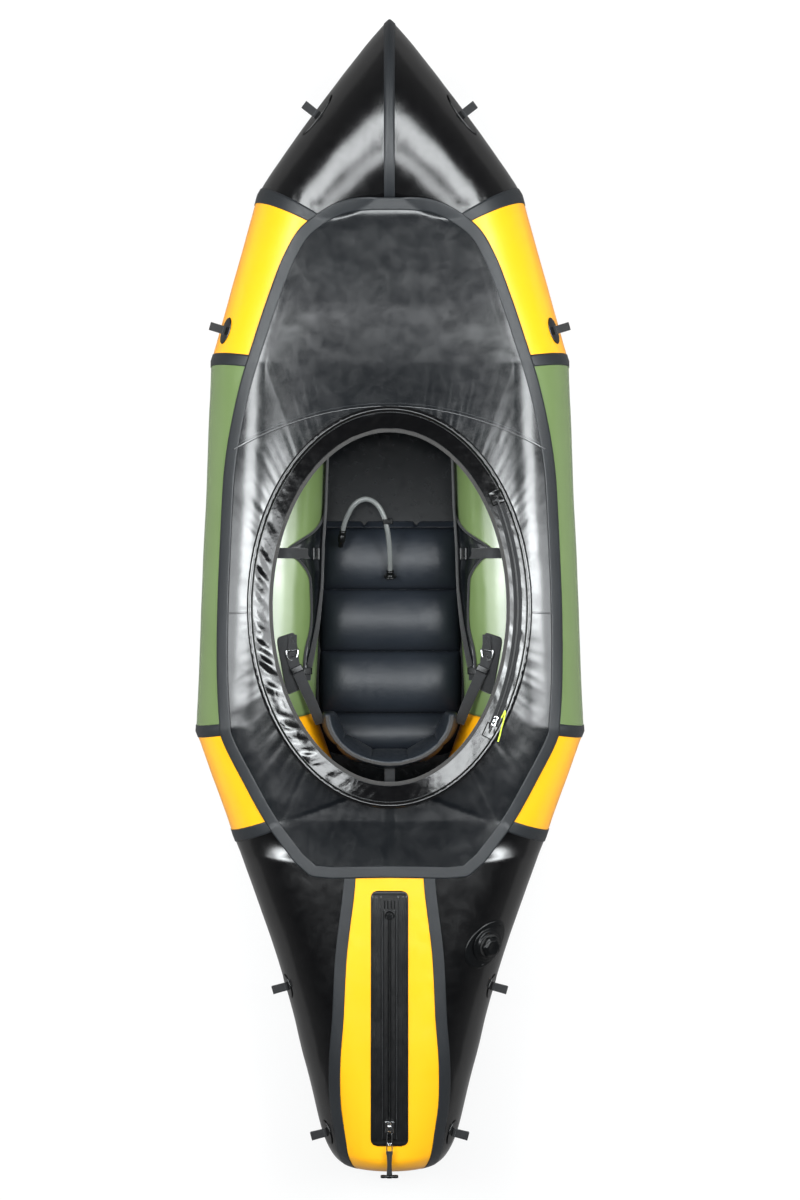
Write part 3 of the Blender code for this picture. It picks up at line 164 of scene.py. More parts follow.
def run_of(points):
    """Each point's share of the way along a line, and the line's length."""
    points = np.asarray(points, float)
    steps = np.r_[0, np.cumsum(np.linalg.norm(np.diff(points, axis=0), axis=1))]
    return steps / steps[-1], steps[-1]


def curve_through(points, count):
    """A smooth line: each stretch is a Catmull-Rom cubic of the four points about it."""
    points = np.asarray(points, float)
    wide = np.vstack([2 * points[0] - points[1], points, 2 * points[-1] - points[-2]])
    place = np.linspace(0, len(points) - 1, count)
    index = np.minimum(place.astype(int), len(points) - 2)
    t = (place - index)[:, None]
    a, b, c, d = (wide[index + k] for k in range(4))
    return 0.5 * (2 * b + (c - a) * t + (2 * a - 5 * b + 4 * c - d) * t ** 2
                  + (3 * b - a - 3 * c + d) * t ** 3)


def even_line(points, count):
    """The same line with its points spread evenly by length."""
    points = np.asarray(points, float)
    share, _ = run_of(points)
    want = np.linspace(0, 1, count)
    return np.stack([np.interp(want, share, points[:, k]) for k in range(points.shape[1])],
                    axis=-1)


# ------------------------------------------------------------------ hull surface

def soft_waves(points):
    """Slow unevenness of inflated fabric, the same for everything that lies on it."""
    return 0.0009 * noise(points, 0.11, 3) + 0.0005 * noise(points, 0.045, 4)


def tube_point(index, share, angle, lift=0.0):
    """A run of tube: middle + out cos(angle) + up sin(angle), carried between mitres.

    At the bow the outer side swells by a root of the share along, which rounds its nose.
    """
    share, angle, lift = np.broadcast_arrays(share, angle, lift)
    s = share[..., None]
    middle = MIDDLES[index] * (1 - s) + MIDDLES[index + 1] * s
    out = OUTS[index] * (1 - s) + OUTS[index + 1] * s
    side = np.cos(angle)[..., None]
    rise = np.sin(angle)[..., None] * TUBE_RADIUS * WORLD_UP
    flat = middle + out * side + rise
    if index == 0:
        swell = BOW_SWELL * np.sqrt(np.clip(4 * share * (1 - share), 0, 1))
        swell = swell * np.clip(np.cos(angle), 0, 1)
        flat = flat + swell[..., None] * np.array([0.78, 0.62, 0.0])
    grown = lift + soft_waves(flat)
    return flat + (out * side + rise) * (grown / TUBE_RADIUS)[..., None]


STERN_LINE = curve_through(STERN, 400)


def stern_facts(y):
    """Half width, panel half width, middle height and half height at a place astern."""
    y = np.asarray(y, float)
    half = np.interp(-y, -STERN_LINE[:, 0], STERN_LINE[:, 1])
    panel = np.interp(-y, -STERN_LINE[:, 0], STERN_LINE[:, 2])
    share = (STERN_MITRE - y) / (STERN_MITRE - STERN_TAIL)
    into = np.clip((STERN_TAIL + TAIL_ROUND - y) / TAIL_ROUND, 0, 1)
    height = TUBE_RADIUS * np.sqrt(1 - 0.985 * into ** 2)
    return half, panel, BASE + STERN_RISE * share, height


def stern_top(x, y, lift):
    """Top of the stern: a flat middle that falls away as a circle's side."""
    half, _, middle, height = stern_facts(y)
    flat = np.maximum(half - TUBE_RADIUS, 0)
    out = np.clip((np.abs(x) - flat) / (half - flat), 0, 1)
    rise = height * np.sqrt(1 - out ** 2) + lift
    points = stacked(x, y, middle + rise)
    points[..., 2] += soft_waves(points)
    return points


def stern_side(y, share, lift=0.0):
    """The stern's side from its top seam to its bottom seam, by length round it."""
    half, panel, middle, height = stern_facts(y)
    flat = np.maximum(half - TUBE_RADIUS, 0)
    round_off = half - flat
    start = np.where(panel > flat, np.arccos(np.clip((panel - flat) / round_off, -1, 1)),
                     math.pi / 2)
    ledge = np.maximum(0, flat - panel)
    arc = 2 * start * TUBE_RADIUS
    along = share * (arc + 2 * ledge)
    angle = start - np.clip(along - ledge, 0, arc) / TUBE_RADIUS
    x = flat + (round_off + lift) * np.cos(angle)
    x = np.where(along < ledge, panel + along, x)
    x = np.where(along > arc + ledge, flat - (along - arc - ledge), x)
    z = middle + (height + lift) * np.sin(angle)
    points = stacked(x, y, z)
    out = stacked(np.cos(angle), 0.0, np.sin(angle))
    return points + out * soft_waves(points)[..., None]


def hull_point(y, angle, lift=0.0):
    """A place on the right side at a length along the boat and an angle round it."""
    y, angle = np.broadcast_arrays(np.asarray(y, float), np.asarray(angle, float))
    half, _, middle, height = stern_facts(y)
    flat = np.maximum(half - TUBE_RADIUS, 0)
    made = stacked(flat + (half - flat + lift) * np.cos(angle), y,
                   middle + (height + lift) * np.sin(angle))
    for index in range(4):
        upper, lower = MIDDLES[index, 1], MIDDLES[index + 1, 1]
        share = np.clip((upper - y) / (upper - lower), 0, 1)
        here = tube_point(index, share, angle, lift)
        inside = (y <= upper if index else y > -9) & (y > lower)
        made = np.where(inside[..., None], here, made)
    return made


def ahead(index, x, y):
    """How far a place in plan lies forward of a mitre's plane."""
    out = unit(OUTS[index, :2])
    return out[0] * (y - MIDDLES[index, 1]) - out[1] * (x - MIDDLES[index, 0])


def crown(y):
    """The height of the tubes' tops at a place along the boat."""
    height = np.interp(-y, -MIDDLES[:, 1], MIDDLES[:, 2]) + TUBE_RADIUS
    _, _, middle, rise = stern_facts(y)
    return np.where(y < STERN_MITRE, middle + rise, height)


def hull_top(x, y, sheet=True):
    """Top of the hull seen from above, with a sheet stretched between the crowns.

    Returns the height and how far out from the tube's crown line the place is. Without
    the sheet, the height is the bare tube's.
    """
    x = np.abs(x)
    height = crown(y)
    outward = np.full(np.shape(height), -1.0)
    for index in range(4):
        near = -x if index == 0 else ahead(index, x, y)
        far = ahead(index + 1, x, y)
        here = (near <= 0) & (far >= 0)
        share = np.where(here, near / np.where(near == far, 1, near - far), 0)
        middle = MIDDLES[index, 2] * (1 - share) + MIDDLES[index + 1, 2] * share
        run = unit(MIDDLES[index + 1, :2] - MIDDLES[index, :2])
        out = run[0] * (y - MIDDLES[index, 1]) - run[1] * (x - MIDDLES[index, 0])
        round_top = middle + np.sqrt(np.clip(TUBE_RADIUS ** 2 - out ** 2, 0, None))
        level = np.maximum(crown(y), round_top) if sheet else round_top
        level = np.where(out > 0, round_top, level)
        height = np.where(here, level, height)
        outward = np.where(here, out, outward)
    behind = ahead(4, x, y) < 0
    half, _, middle, rise = stern_facts(y)
    flat = np.maximum(half - TUBE_RADIUS, 0)
    out = np.clip((x - flat) / (half - flat), 0, 1)
    height = np.where(behind, middle + rise * np.sqrt(1 - out ** 2), height)
    outward = np.where(behind, x - flat, outward)
    return height, outward


# ------------------------------------------------------------------ meshes

def linear(colour):
    """A hex colour in linear light, by the sRGB curve."""
    parts = [int(colour[k:k + 2], 16) / 255 for k in (1, 3, 5)]
    return [c / 12.92 if c <= 0.04045 else ((c + 0.055) / 1.055) ** 2.4 for c in parts] + [1.0]


def lengths_along(grid, axis):
    steps = np.linalg.norm(np.diff(grid, axis=axis), axis=-1).mean(axis=1 - axis)
    return np.r_[0, np.cumsum(steps)]


def mesh_of(name, grid, closed_rows=False, closed_columns=False):
    """Quads over a grid of points, with a UV map in metres along and across it."""
    rows, columns = grid.shape[:2]
    index = np.arange(rows * columns).reshape(rows, columns)
    along, across = lengths_along(grid, 0), lengths_along(grid, 1)
    if closed_rows:
        index = np.vstack([index, index[:1]])
        along = np.r_[along, along[-1] + np.linalg.norm(grid[-1] - grid[0], axis=-1).mean()]
    if closed_columns:
        index = np.hstack([index, index[:, :1]])
        across = np.r_[across, across[-1]
                       + np.linalg.norm(grid[:, -1] - grid[:, 0], axis=-1).mean()]
    quads = np.stack([index[:-1, :-1], index[1:, :-1], index[1:, 1:], index[:-1, 1:]],
                     axis=-1).reshape(-1, 4)
    u, v = grid_of(along, across)
    corners = np.stack([np.stack(pair, axis=-1) for pair in (
        (u[:-1, :-1], v[:-1, :-1]), (u[1:, :-1], v[1:, :-1]),
        (u[1:, 1:], v[1:, 1:]), (u[:-1, 1:], v[:-1, 1:]))], axis=2)
    mesh = bpy.data.meshes.new(name)
    mesh.vertices.add(rows * columns)
    mesh.vertices.foreach_set("co", grid.reshape(-1).astype(np.float32))
    mesh.loops.add(quads.size)
    mesh.loops.foreach_set("vertex_index", quads.reshape(-1))
    mesh.polygons.add(len(quads))
    mesh.polygons.foreach_set("loop_start", np.arange(0, quads.size, 4))
    mesh.polygons.foreach_set("use_smooth", np.ones(len(quads), bool))
    uv = mesh.uv_layers.new(name="metres")
    uv.data.foreach_set("uv", corners.reshape(-1).astype(np.float32))
    mesh.update()
    mesh.validate()
    return mesh


def facing(grid, inside, closed_rows=False):
    """The grid, turned over if its faces look towards the point inside it."""
    step_u = np.diff(np.vstack([grid, grid[:1]]) if closed_rows else grid, axis=0)
    middle = grid[:-1, :-1]
    normal = np.cross(step_u[:len(middle), :-1], np.diff(grid, axis=1)[:-1])
    if np.sum(normal * (middle - np.asarray(inside, float))) < 0:
        return grid[::-1]
    return grid


def all_smooth(mesh):
    """Shade every face smooth."""
    mesh.polygons.foreach_set("use_smooth", np.ones(len(mesh.polygons), bool))


def places_of(mesh):
    """The mesh's points, one to a row."""
    places = np.empty(len(mesh.vertices) * 3)
    mesh.vertices.foreach_get("co", places)
    return places.reshape(-1, 3)


def place_object(name, mesh, material, body="hull", replaced=(), slot=None):
    """A piece with its material, its body and the solids it stands for; its slot is looked up
    but not kept.
    """
    made = new_object(name, mesh)
    mesh.materials.append(material)
    if body:
        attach(made, body)
    if replaced:
        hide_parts(*replaced)
    slot = slot or SLOTS.get(material.name)
    return made


def skin(name, grid, material, inside, thick=0.001, grow=-1.0, closed_rows=False,
         closed_columns=False, **says):
    """A sheet: a grid with its faces away from a point, given a thickness."""
    grid = facing(grid, inside, closed_rows)
    made = place_object(name, mesh_of(name, grid, closed_rows, closed_columns), material, **says)
    solid = made.modifiers.new("thickness", "SOLIDIFY")
    solid.thickness = thick
    solid.offset = grow
    solid.use_even_offset = False
    return made


def capped(mesh):
    """Close the open ends of a tube or pad, and turn every face outwards."""
    shape = bmesh.new()
    shape.from_mesh(mesh)
    bmesh.ops.remove_doubles(shape, verts=shape.verts, dist=1e-6)
    edges = [e for e in shape.edges if e.is_boundary]
    if edges:
        bmesh.ops.holes_fill(shape, edges=edges, sides=0)
    bmesh.ops.recalc_face_normals(shape, faces=shape.faces)
    shape.to_mesh(mesh)
    shape.free()
    return mesh


def swept(name, line, profile, up, material, body="hull", replaced=(), closed=False):
    """A profile carried along a path: path + side times its x + up times its y."""
    if closed:
        way = unit(np.roll(line, -1, axis=0) - np.roll(line, 1, axis=0))
    else:
        way = unit(np.gradient(line, axis=0))
    side = unit(np.cross(way, up))
    over = np.cross(side, way)
    profile = np.asarray(profile, float)
    if profile.ndim == 2:
        profile = np.broadcast_to(profile, (len(line),) + profile.shape)
    grid = (line[:, None] + side[:, None] * profile[..., :1] + over[:, None] * profile[..., 1:])
    mesh = capped(mesh_of(name, grid, closed_rows=closed, closed_columns=True))
    return place_object(name, mesh, material, body, replaced)


def circle(radius, count=16):
    angle = full_turn(count)
    return radius * np.stack([np.cos(angle), np.sin(angle)], axis=-1)


def rounded_bar(width, height, power=4, count=24):
    """A superellipse: width and height times the signed 2/power roots of cos and sin."""
    angle = full_turn(count)
    c, s = np.cos(angle), np.sin(angle)
    return np.stack([width / 2 * np.sign(c) * np.abs(c) ** (2 / power),
                     height / 2 * np.sign(s) * np.abs(s) ** (2 / power)], axis=-1)


def turned(name, profile, place, axis, material, body="hull", replaced=(), count=48,
           wave=None):
    """A turned shape: each radius and height of the profile swung round an axis.

    wave, if given, is a share of the radius for each angle, such as a grip's.
    """
    profile = np.asarray(profile, float)
    axis = unit(np.asarray(axis, float))
    side = unit(np.cross(axis, [0.0, 1.0, 0.0] if abs(axis[1]) < 0.9 else [1.0, 0.0, 0.0]))
    other = np.cross(axis, side)
    angle = full_turn(count)
    radius = profile[:, :1] * np.ones(count)
    if wave is not None:
        radius = radius * wave(angle, profile[:, :1])
    grid = (np.asarray(place, float) + radius[..., None] * (
        np.cos(angle)[:, None] * side + np.sin(angle)[:, None] * other)
        + profile[:, 1][:, None, None] * axis)
    mesh = capped(mesh_of(name, grid, closed_columns=True))
    return place_object(name, mesh, material, body, replaced)


# ------------------------------------------------------------------ materials

def add(tree, kind, inputs=None, **options):
    """One node with its settings; an input is a value, or a socket that is linked to it."""
    made = tree.nodes.new(kind)
    for key, value in options.items():
        setattr(made, key, value)
    for key, value in (inputs or {}).items():
        if isinstance(value, bpy.types.NodeSocket):
            tree.links.new(value, made.inputs[key])
        else:
            made.inputs[key].default_value = value
    return made


def finish_of(name, colour, roughness, **sockets):
    """A material with a Principled shader: its tree, shader and object coordinates."""
    made = bpy.data.materials.new(name)
    made.use_nodes = True
    made.diffuse_color = linear(colour)
    tree = made.node_tree
    shader = tree.nodes["Principled BSDF"]
    shader.inputs["Base Color"].default_value = linear(colour)
    shader.inputs["Roughness"].default_value = roughness
    for key, value in sockets.items():
        shader.inputs[key.replace("_", " ")].default_value = value
    return made, tree, shader, add(tree, "ShaderNodeTexCoord")


def coated_fabric(name, colour, shade, roughness, thread, weave, crinkle, crinkle_size,
                  by_uv=True, rough_spread=0.05, sheen=0.0, specular=0.5, steep=None):
    """Nylon under a clear TPU film: the weave shows faintly, the film crinkles and shines.

    thread is the weave's spacing in metres, weave its depth in metres, crinkle the film's
    crinkle depth. shade is the colour where the cloth is a little deeper or dusty. steep is
    painted shade: a darker colour mixed in where the surface turns away from the light above.
    """
    made, tree, shader, place = finish_of(name, colour, roughness,
                                          Specular_IOR_Level=specular)
    spot = place.outputs["Object"]
    slow = add(tree, "ShaderNodeTexNoise", {"Vector": spot, "Scale": 7.0, "Detail": 3.0})
    fine = add(tree, "ShaderNodeTexNoise", {"Vector": spot, "Scale": 1 / crinkle_size,
                                            "Detail": 4.0, "Distortion": 0.6})
    mix = add(tree, "ShaderNodeMix", {"Factor": slow.outputs["Fac"], 6: linear(colour),
                                      7: linear(shade)}, data_type="RGBA")
    tree.links.new(mix.outputs[2], shader.inputs["Base Color"])
    # Painted shade: the colour turns to a darker amber where the surface faces down, away from
    # the light above
    if steep:
        facing_up = add(tree, "ShaderNodeSeparateXYZ", {
            "Vector": add(tree, "ShaderNodeNewGeometry").outputs["Normal"]})
        level = add(tree, "ShaderNodeMapRange", {"Value": facing_up.outputs["Z"],
                                                 "From Min": 0.0, "From Max": 0.62})
        painted_shade_mix = add(tree, "ShaderNodeMix", {"Factor": level.outputs[0], 6: linear(steep),
                                           7: mix.outputs[2]}, data_type="RGBA")
        tree.links.new(painted_shade_mix.outputs[2], shader.inputs["Base Color"])
    rough = add(tree, "ShaderNodeMapRange", {"Value": fine.outputs["Fac"],
                                             "From Min": 0.3, "From Max": 0.7,
                                             "To Min": roughness - rough_spread,
                                             "To Max": roughness + rough_spread})
    tree.links.new(rough.outputs[0], shader.inputs["Roughness"])
    threads = []
    source = place.outputs["UV"] if by_uv else spot
    for turn in (0.0, math.pi / 2):
        turned_place = add(tree, "ShaderNodeMapping", {
            "Vector": source, "Rotation": (0, 0, turn), "Scale": (1 / thread,) * 3})
        wave = add(tree, "ShaderNodeTexWave", {"Vector": turned_place.outputs[0],
                                               "Scale": 0.3183, "Distortion": 0.2})
        threads.append(wave.outputs["Fac"])
    cloth = add(tree, "ShaderNodeMath", {0: threads[0], 1: threads[1]}, operation="MULTIPLY")
    first = add(tree, "ShaderNodeBump", {"Height": cloth.outputs[0], "Strength": 1.0,
                                         "Distance": weave})
    second = add(tree, "ShaderNodeBump", {"Height": fine.outputs["Fac"], "Strength": 1.0,
                                          "Distance": crinkle, "Normal": first.outputs[0]})
    tree.links.new(second.outputs[0], shader.inputs["Normal"])
    if sheen:
        shader.inputs["Sheen Weight"].default_value = sheen
    return made


def hull_nylon(name, colour, shade, roughness, **finish):
    """The hull's cloth: nylon with 1.1 mm threads, under a film that crinkles each 30 mm."""
    return coated_fabric(name, colour, shade, roughness, 0.0011, 0.00001, 0.00009, 0.03,
                         rough_spread=0.03, **finish)


# Nylon with a thick TPU film, heat-welded: black mirrors the lamps in broad soft shapes
HULL_BLACK = hull_nylon("tpu_coated_nylon_black", "#060607", "#0A0A0B", 0.2, specular=0.9)
# The same cloth dyed yellow: the film keeps it glossy; faces that turn down get a painted amber
# shade
HULL_YELLOW = hull_nylon("tpu_coated_nylon_yellow", "#FFB714", "#FFB010", 0.34,
                         steep="#D98200")
# The same cloth dyed moss green
HULL_GREEN = hull_nylon("tpu_coated_nylon_green", "#6B7F50", "#637748", 0.24, specular=1.0)
# Seam tape: a narrow strip of the cloth, welded flat with a grained press
SEAM_TAPE = coated_fabric("welded_seam_tape", "#1D1F22", "#25282B", 0.45, 0.0022,
                          0.00008, 0.0001, 0.006, rough_spread=0.06)
# Thin ripstop deck with a satin film: fine creases break up its broad reflections
DECK_CLOTH = coated_fabric("ripstop_deck_nylon", "#0B0D10", "#111417", 0.21, 0.0016,
                           0.00001, 0.0001, 0.03, rough_spread=0.03, specular=0.9)
# Vinyl-bright film of the coaming's skirt collar, gathered and very glossy
COLLAR_FILM = coated_fabric("glossy_collar_film", "#070708", "#0B0B0C", 0.15, 0.0012,
                            0.00001, 0.00035, 0.02, rough_spread=0.04, specular=0.8)
# Seat and backrest cells: soft satin TPU laminate
SEAT_CLOTH = coated_fabric("satin_seat_laminate", "#1A1E24", "#20252C", 0.42, 0.0012,
                           0.00003, 0.0004, 0.014, rough_spread=0.06)
# Woven polypropylene webbing: matt, with a coarse weave
WEBBING = coated_fabric("polypropylene_webbing", "#0E0F11", "#17181B", 0.72, 0.0026,
                        0.00035, 0.0001, 0.01, sheen=0.3)
# Grey woven binding on the cockpit's inner edge
BINDING = coated_fabric("woven_edge_binding", "#2A2928", "#373533", 0.8, 0.003,
                        0.0003, 0.0001, 0.01, sheen=0.3)
# Zip base: thin moulded TPU plate, matt
ZIP_RUBBER = coated_fabric("moulded_tpu_plate", "#0B0B0C", "#101112", 0.34, 0.002,
                           0.00001, 0.00003, 0.012, by_uv=False)
# Acetal and nylon fittings, injection moulded: black with a faint spark-eroded grain
MOULDED = coated_fabric("moulded_black_acetal", "#090A0B", "#0E0F10", 0.24, 0.0015,
                        0.0, 0.00006, 0.0015, by_uv=False, rough_spread=0.06,
                        specular=0.3)
# Heavy floor nylon: dull, with faint cloudy scuffs
FLOOR_CLOTH = coated_fabric("heavy_floor_nylon", "#040608", "#080C10", 0.24, 0.0016,
                            0.00001, 0.00005, 0.02, specular=0.15)
# Gasket rubber: matt black
GASKET = coated_fabric("nitrile_rubber", "#141414", "#1C1C1C", 0.7, 0.002,
                       0.0, 0.0001, 0.003, by_uv=False)
# Polyester thread, matt black
THREAD = coated_fabric("bonded_polyester_thread", "#2B2D30", "#36393D", 0.55, 0.001,
                       0.0001, 0.0001, 0.002, by_uv=False, sheen=0.3)
# Fluorescent pull cord, braided
CORD = coated_fabric("braided_fluorescent_cord", "#C8E23C", "#D8F04E", 0.6, 0.0014,
                     0.0003, 0.0001, 0.004)


def metal(name, colour, roughness, size):
    """Polished metal: bright, with a faint grain in its roughness and surface."""
    made, tree, shader, place = finish_of(name, colour, roughness, Metallic=1.0)
    grain = add(tree, "ShaderNodeTexNoise", {"Vector": place.outputs["Object"],
                                             "Scale": 1 / size, "Detail": 4.0})
    rough = add(tree, "ShaderNodeMapRange", {"Value": grain.outputs["Fac"],
                                             "To Min": roughness * 0.6,
                                             "To Max": roughness * 1.6})
    tree.links.new(rough.outputs[0], shader.inputs["Roughness"])
    bump = add(tree, "ShaderNodeBump", {"Height": grain.outputs["Fac"],
                                        "Distance": 0.00005})
    tree.links.new(bump.outputs[0], shader.inputs["Normal"])
    return made


STEEL = metal("polished_stainless_steel", "#C9CBCD", 0.2, 0.002)

# Clear vinyl hose, a little cloudy
CLEAR_VINYL, tree, shader, place = finish_of("clear_vinyl_hose", "#8E9190", 0.18, IOR=1.5,
                                             Transmission_Weight=0.55)
cloud = add(tree, "ShaderNodeTexNoise", {"Vector": place.outputs["Object"], "Scale": 120.0,
                                         "Detail": 3.0})
bump = add(tree, "ShaderNodeBump", {"Height": cloud.outputs["Fac"], "Distance": 0.0001})
tree.links.new(bump.outputs[0], shader.inputs["Normal"])

# The record's slot for each material, unless a piece names another; the cord has none
SLOTS = {made.name: slot for slot, group in (
    ("black_fabric", (HULL_BLACK, FLOOR_CLOTH)), ("yellow_fabric", (HULL_YELLOW,)),
    ("green_fabric", (HULL_GREEN,)), ("seam_tape", (SEAM_TAPE,)),
    ("deck_fabric", (DECK_CLOTH,)), ("collar_fabric", (COLLAR_FILM,)),
    ("seat_fabric", (SEAT_CLOTH,)), ("webbing", (WEBBING, BINDING, THREAD)),
    ("black_plastic", (ZIP_RUBBER, MOULDED)), ("rubber", (GASKET,)), ("steel", (STEEL,)),
    ("clear_hose", (CLEAR_VINYL,))) for made in group}

# ------------------------------------------------------------------ hull

SIDES = (("right", np.array([1.0, 1.0, 1.0])), ("left", np.array([-1.0, 1.0, 1.0])))
RUNS = (("bow", HULL_BLACK), ("front", HULL_YELLOW), ("mid", HULL_GREEN),
        ("rear", HULL_YELLOW))
SKIN = 0.001
GAP = 0.0003
AROUND = 128


def seam_puckers(points, near, seed):
    """Small gathers square to a welded seam, dying out over the distance from it."""
    depth = np.exp(-np.clip(near - 0.012, 0, None) / 0.03) * np.clip(near / 0.014, 0, 1)
    return depth * (0.0007 * folded(points, 0.022, seed) + 0.0004 * noise(points, 0.012, seed))


def tube_piece(index, first, last, seed):
    """One panel's grid of points, with the puckers of its two seams."""
    length = RUN_LENGTHS[index]
    share = np.linspace(first, last, max(24, int(length / 0.008)))
    angle = full_turn(AROUND)
    s, a = grid_of(share, angle)
    base = tube_point(index, s, a)
    near = np.minimum(s, 1 - s) * length
    return tube_point(index, s, a, seam_puckers(base, near, seed) - 0.0004)


for number, (name, cloth) in enumerate(RUNS):
    step = GAP / RUN_LENGTHS[number]
    first = (2 * SKIN + GAP) / RUN_LENGTHS[number] if number == 0 else step
    panel = tube_piece(number, first, 1 - step, 11 + number)
    for side, flip in SIDES:
        middle = (MIDDLES[number] + MIDDLES[number + 1]) / 2 * flip
        skin(f"panel_{name}_{side}", panel * flip, cloth, middle, thick=SKIN,
             replaced=(f"hull_{name}_{side}",), closed_columns=True)


def joined_rows(first, rest, count):
    """Rows from the mitre blended into the rows astern of it."""
    share = np.linspace(0, 1, count, endpoint=False)[:, None, None]
    return np.vstack([first[None] * (1 - share) + rest[:1] * share, rest])


def stern_places(count_body, count_end):
    """Places along the stern, even at first and then by a quarter turn of its round end."""
    body = np.linspace(STERN_START, STERN_TAIL + TAIL_ROUND, count_body, endpoint=False)
    turn = np.linspace(0, math.pi / 2, count_end)
    return np.r_[body, STERN_TAIL + TAIL_ROUND - TAIL_ROUND * np.sin(turn)]


ALONG = stern_places(84, 22)
SHARES = np.linspace(0, 1, 81)
y, s = grid_of(ALONG, SHARES)
body = stern_side(y, s)
body = stern_side(y, s, seam_puckers(body, 0.016 + s * 0.2, 31) * 0.6 - 0.0003)
last_ring = tube_point(3, 1.0 + 0.0015, math.pi / 2 - math.pi * SHARES)
side_grid = joined_rows(last_ring, body, 10)
for side, flip in SIDES:
    skin(f"panel_stern_{side}", side_grid * flip, HULL_BLACK,
         np.array([0.0, -0.95, 0.17]), replaced=(f"hull_stern_{side}",), thick=SKIN)

# Top panel, with its end turned down to the floor
PANEL_SHARES = np.linspace(-1, 1, 61)
y, s = grid_of(stern_places(84, 24), PANEL_SHARES)
_, panel_half, _, _ = stern_facts(y)
edge = np.minimum(1 - np.abs(s), 1) * panel_half
top = stern_top(s * (panel_half - GAP), y, -0.0004)
top[..., 2] += seam_puckers(top, edge + 0.004, 33) * 0.8
skin("panel_stern_top", top, HULL_YELLOW, (0, -1.0, -1), thick=SKIN,
     replaced=("stern_top_panel",))

# Bulkhead behind the seat, between the two tubes' inner sides
wall_angle = np.linspace(math.pi / 2, 1.5 * math.pi, 49)
edge_line = tube_point(3, 1.0, wall_angle, -0.0014)
across = np.linspace(-0.97, 0.97, 41)
wall = edge_line[:, None] * stacked(across, 1.0, 1.0)
wall[..., 1] += 0.0012 * noise(wall, 0.06, 35)
skin("bulkhead", wall, HULL_BLACK, (0, -2.0, 0.15), thick=SKIN, grow=1.0,
     replaced=("rear_bulkhead",))

# Floor sheet under the whole hull
floor_rows = []
for index in range(4):
    start = TAPE_WIDTH / RUN_LENGTHS[0] if index == 0 else 0.0
    share = np.linspace(start, 1, 40, endpoint=False)
    floor_rows.append(tube_point(index, share, -math.pi / 2))
ring_low = tube_point(3, 1.0, -math.pi / 2)[None]
astern = stern_places(70, 16)
_, panel_half, middle, rise = stern_facts(astern)
low = stacked(panel_half, astern, middle - rise)
floor_line = np.vstack(floor_rows + [ring_low + (low[:1] - ring_low) * k / 8
                                     for k in range(8)] + [low])
across = np.linspace(-1, 1, 61)
floor_grid = floor_line[:, None] * stacked(across, 1.0, 1.0)
floor_grid[..., 2] = np.maximum(floor_grid[..., 2] - GAP, 0.0016)
skin("floor_cloth", floor_grid, FLOOR_CLOTH, (0, 0, 5.0), thick=0.0014, grow=1.0,
     replaced=("floor_sheet",))

# ------------------------------------------------------------------ tapes on the tubes

TAPE_LIFT = 0.0014


def seam_angle(index):
    """Where the deck's seam crosses a mitre, as an angle round the tube."""
    line = even_line(SEAM, 600)
    far = ahead(index, line[:, 0], line[:, 1])
    good = np.where((far[:-1] >= 0) & (far[1:] < 0) & (line[1:, 0] > MIDDLES[index, 0] / 2))[0]
    place = line[good[-1] + 1]
    out = np.dot(place - MIDDLES[index, :2], OUTS[index, :2]) / np.dot(OUTS[index, :2],
                                                                      OUTS[index, :2])
    return math.acos(max(-1, min(1, out)))


half_turn = TAPE_WIDTH / TUBE_RADIUS
for number, name in enumerate(("bow", "front", "mid", "stern"), start=1):
    high = seam_angle(number) - half_turn * 0.42
    angles = np.linspace(-math.pi / 2 + half_turn / 2, high, 90)
    rows = []
    for k in np.linspace(-0.5, 0.5, 7):
        run = number - 1 if k <= 0 or number == 4 else number
        share = (1.0 if run == number - 1 else 0.0) + k * TAPE_WIDTH / RUN_LENGTHS[run]
        rows.append(tube_point(run, share, angles, TAPE_LIFT + 0.0004 * (1 - abs(k) * 2)))
    band = np.array(rows)
    for side, flip in SIDES:
        skin(f"joint_tape_{name}_{side}", band * flip, SEAM_TAPE,
             MIDDLES[number] * flip, thick=TAPE_THICK,
             replaced=(f"{name}_joint_tape_{side}",))

# Bow's centre tape, over the nose
high = math.acos((SEAM[0, 1] + TAPE_WIDTH / 2 - MIDDLES[0, 1]) / OUTS[0, 1])
angles = np.linspace(-math.pi / 2 + half_turn / 2, high, 110)
reach = tube_point(0, 0.78 * TAPE_WIDTH / RUN_LENGTHS[0], angles, TAPE_LIFT)[..., 0]
even_width = 0.0128 / np.maximum(reach, 0.006)
right = [tube_point(0, k * TAPE_WIDTH / RUN_LENGTHS[0] * even_width, angles, TAPE_LIFT)
         for k in (0.78, 0.4, 0.12, 0.0)]
band = np.array([mirrored(row) for row in right] + right[2::-1])
skin("centre_tape_bow", band, SEAM_TAPE, MIDDLES[0], thick=TAPE_THICK,
     replaced=("bow_centre_tape",))

# Tapes down the stern panel's seams
places = stern_places(90, 20)[:-3]
places = np.concatenate([[SEAM[-1, 1] - 0.004], places[places < SEAM[-1, 1] - 0.006]])
y, k = grid_of(places, np.linspace(-0.5, 0.5, 9))
_, panel_half, _, _ = stern_facts(y)
for side, flip in SIDES:
    band = stern_top(panel_half + TAPE_WIDTH * k, y, 0.0016) * flip
    skin(f"panel_tape_{side}", band, SEAM_TAPE, (0, -1.0, -1), thick=TAPE_THICK,
         replaced=(f"stern_panel_tape_{side}",))

# ------------------------------------------------------------------ deck

DECK_COUNT = 380
DECK_LIFT = 0.0018
DECK_THICK = 0.0007
STITCH = (0.0032, 0.0009)
# Depths of the deck's folds: gathers and pleats at the rim, slack and creases all over
GATHER, PLEAT = 0.0015, 0.0009
SLACK, SLACK_FOLD, CREASE = 0.0005, 0.00018, 0.00005
GATHER_REACH = 0.07
EASE_REACH = 0.16
FAN = (0.41978, 0.8091, 0.6417)
ARC_TOP = 0.465
ARC_FALL = 0.72


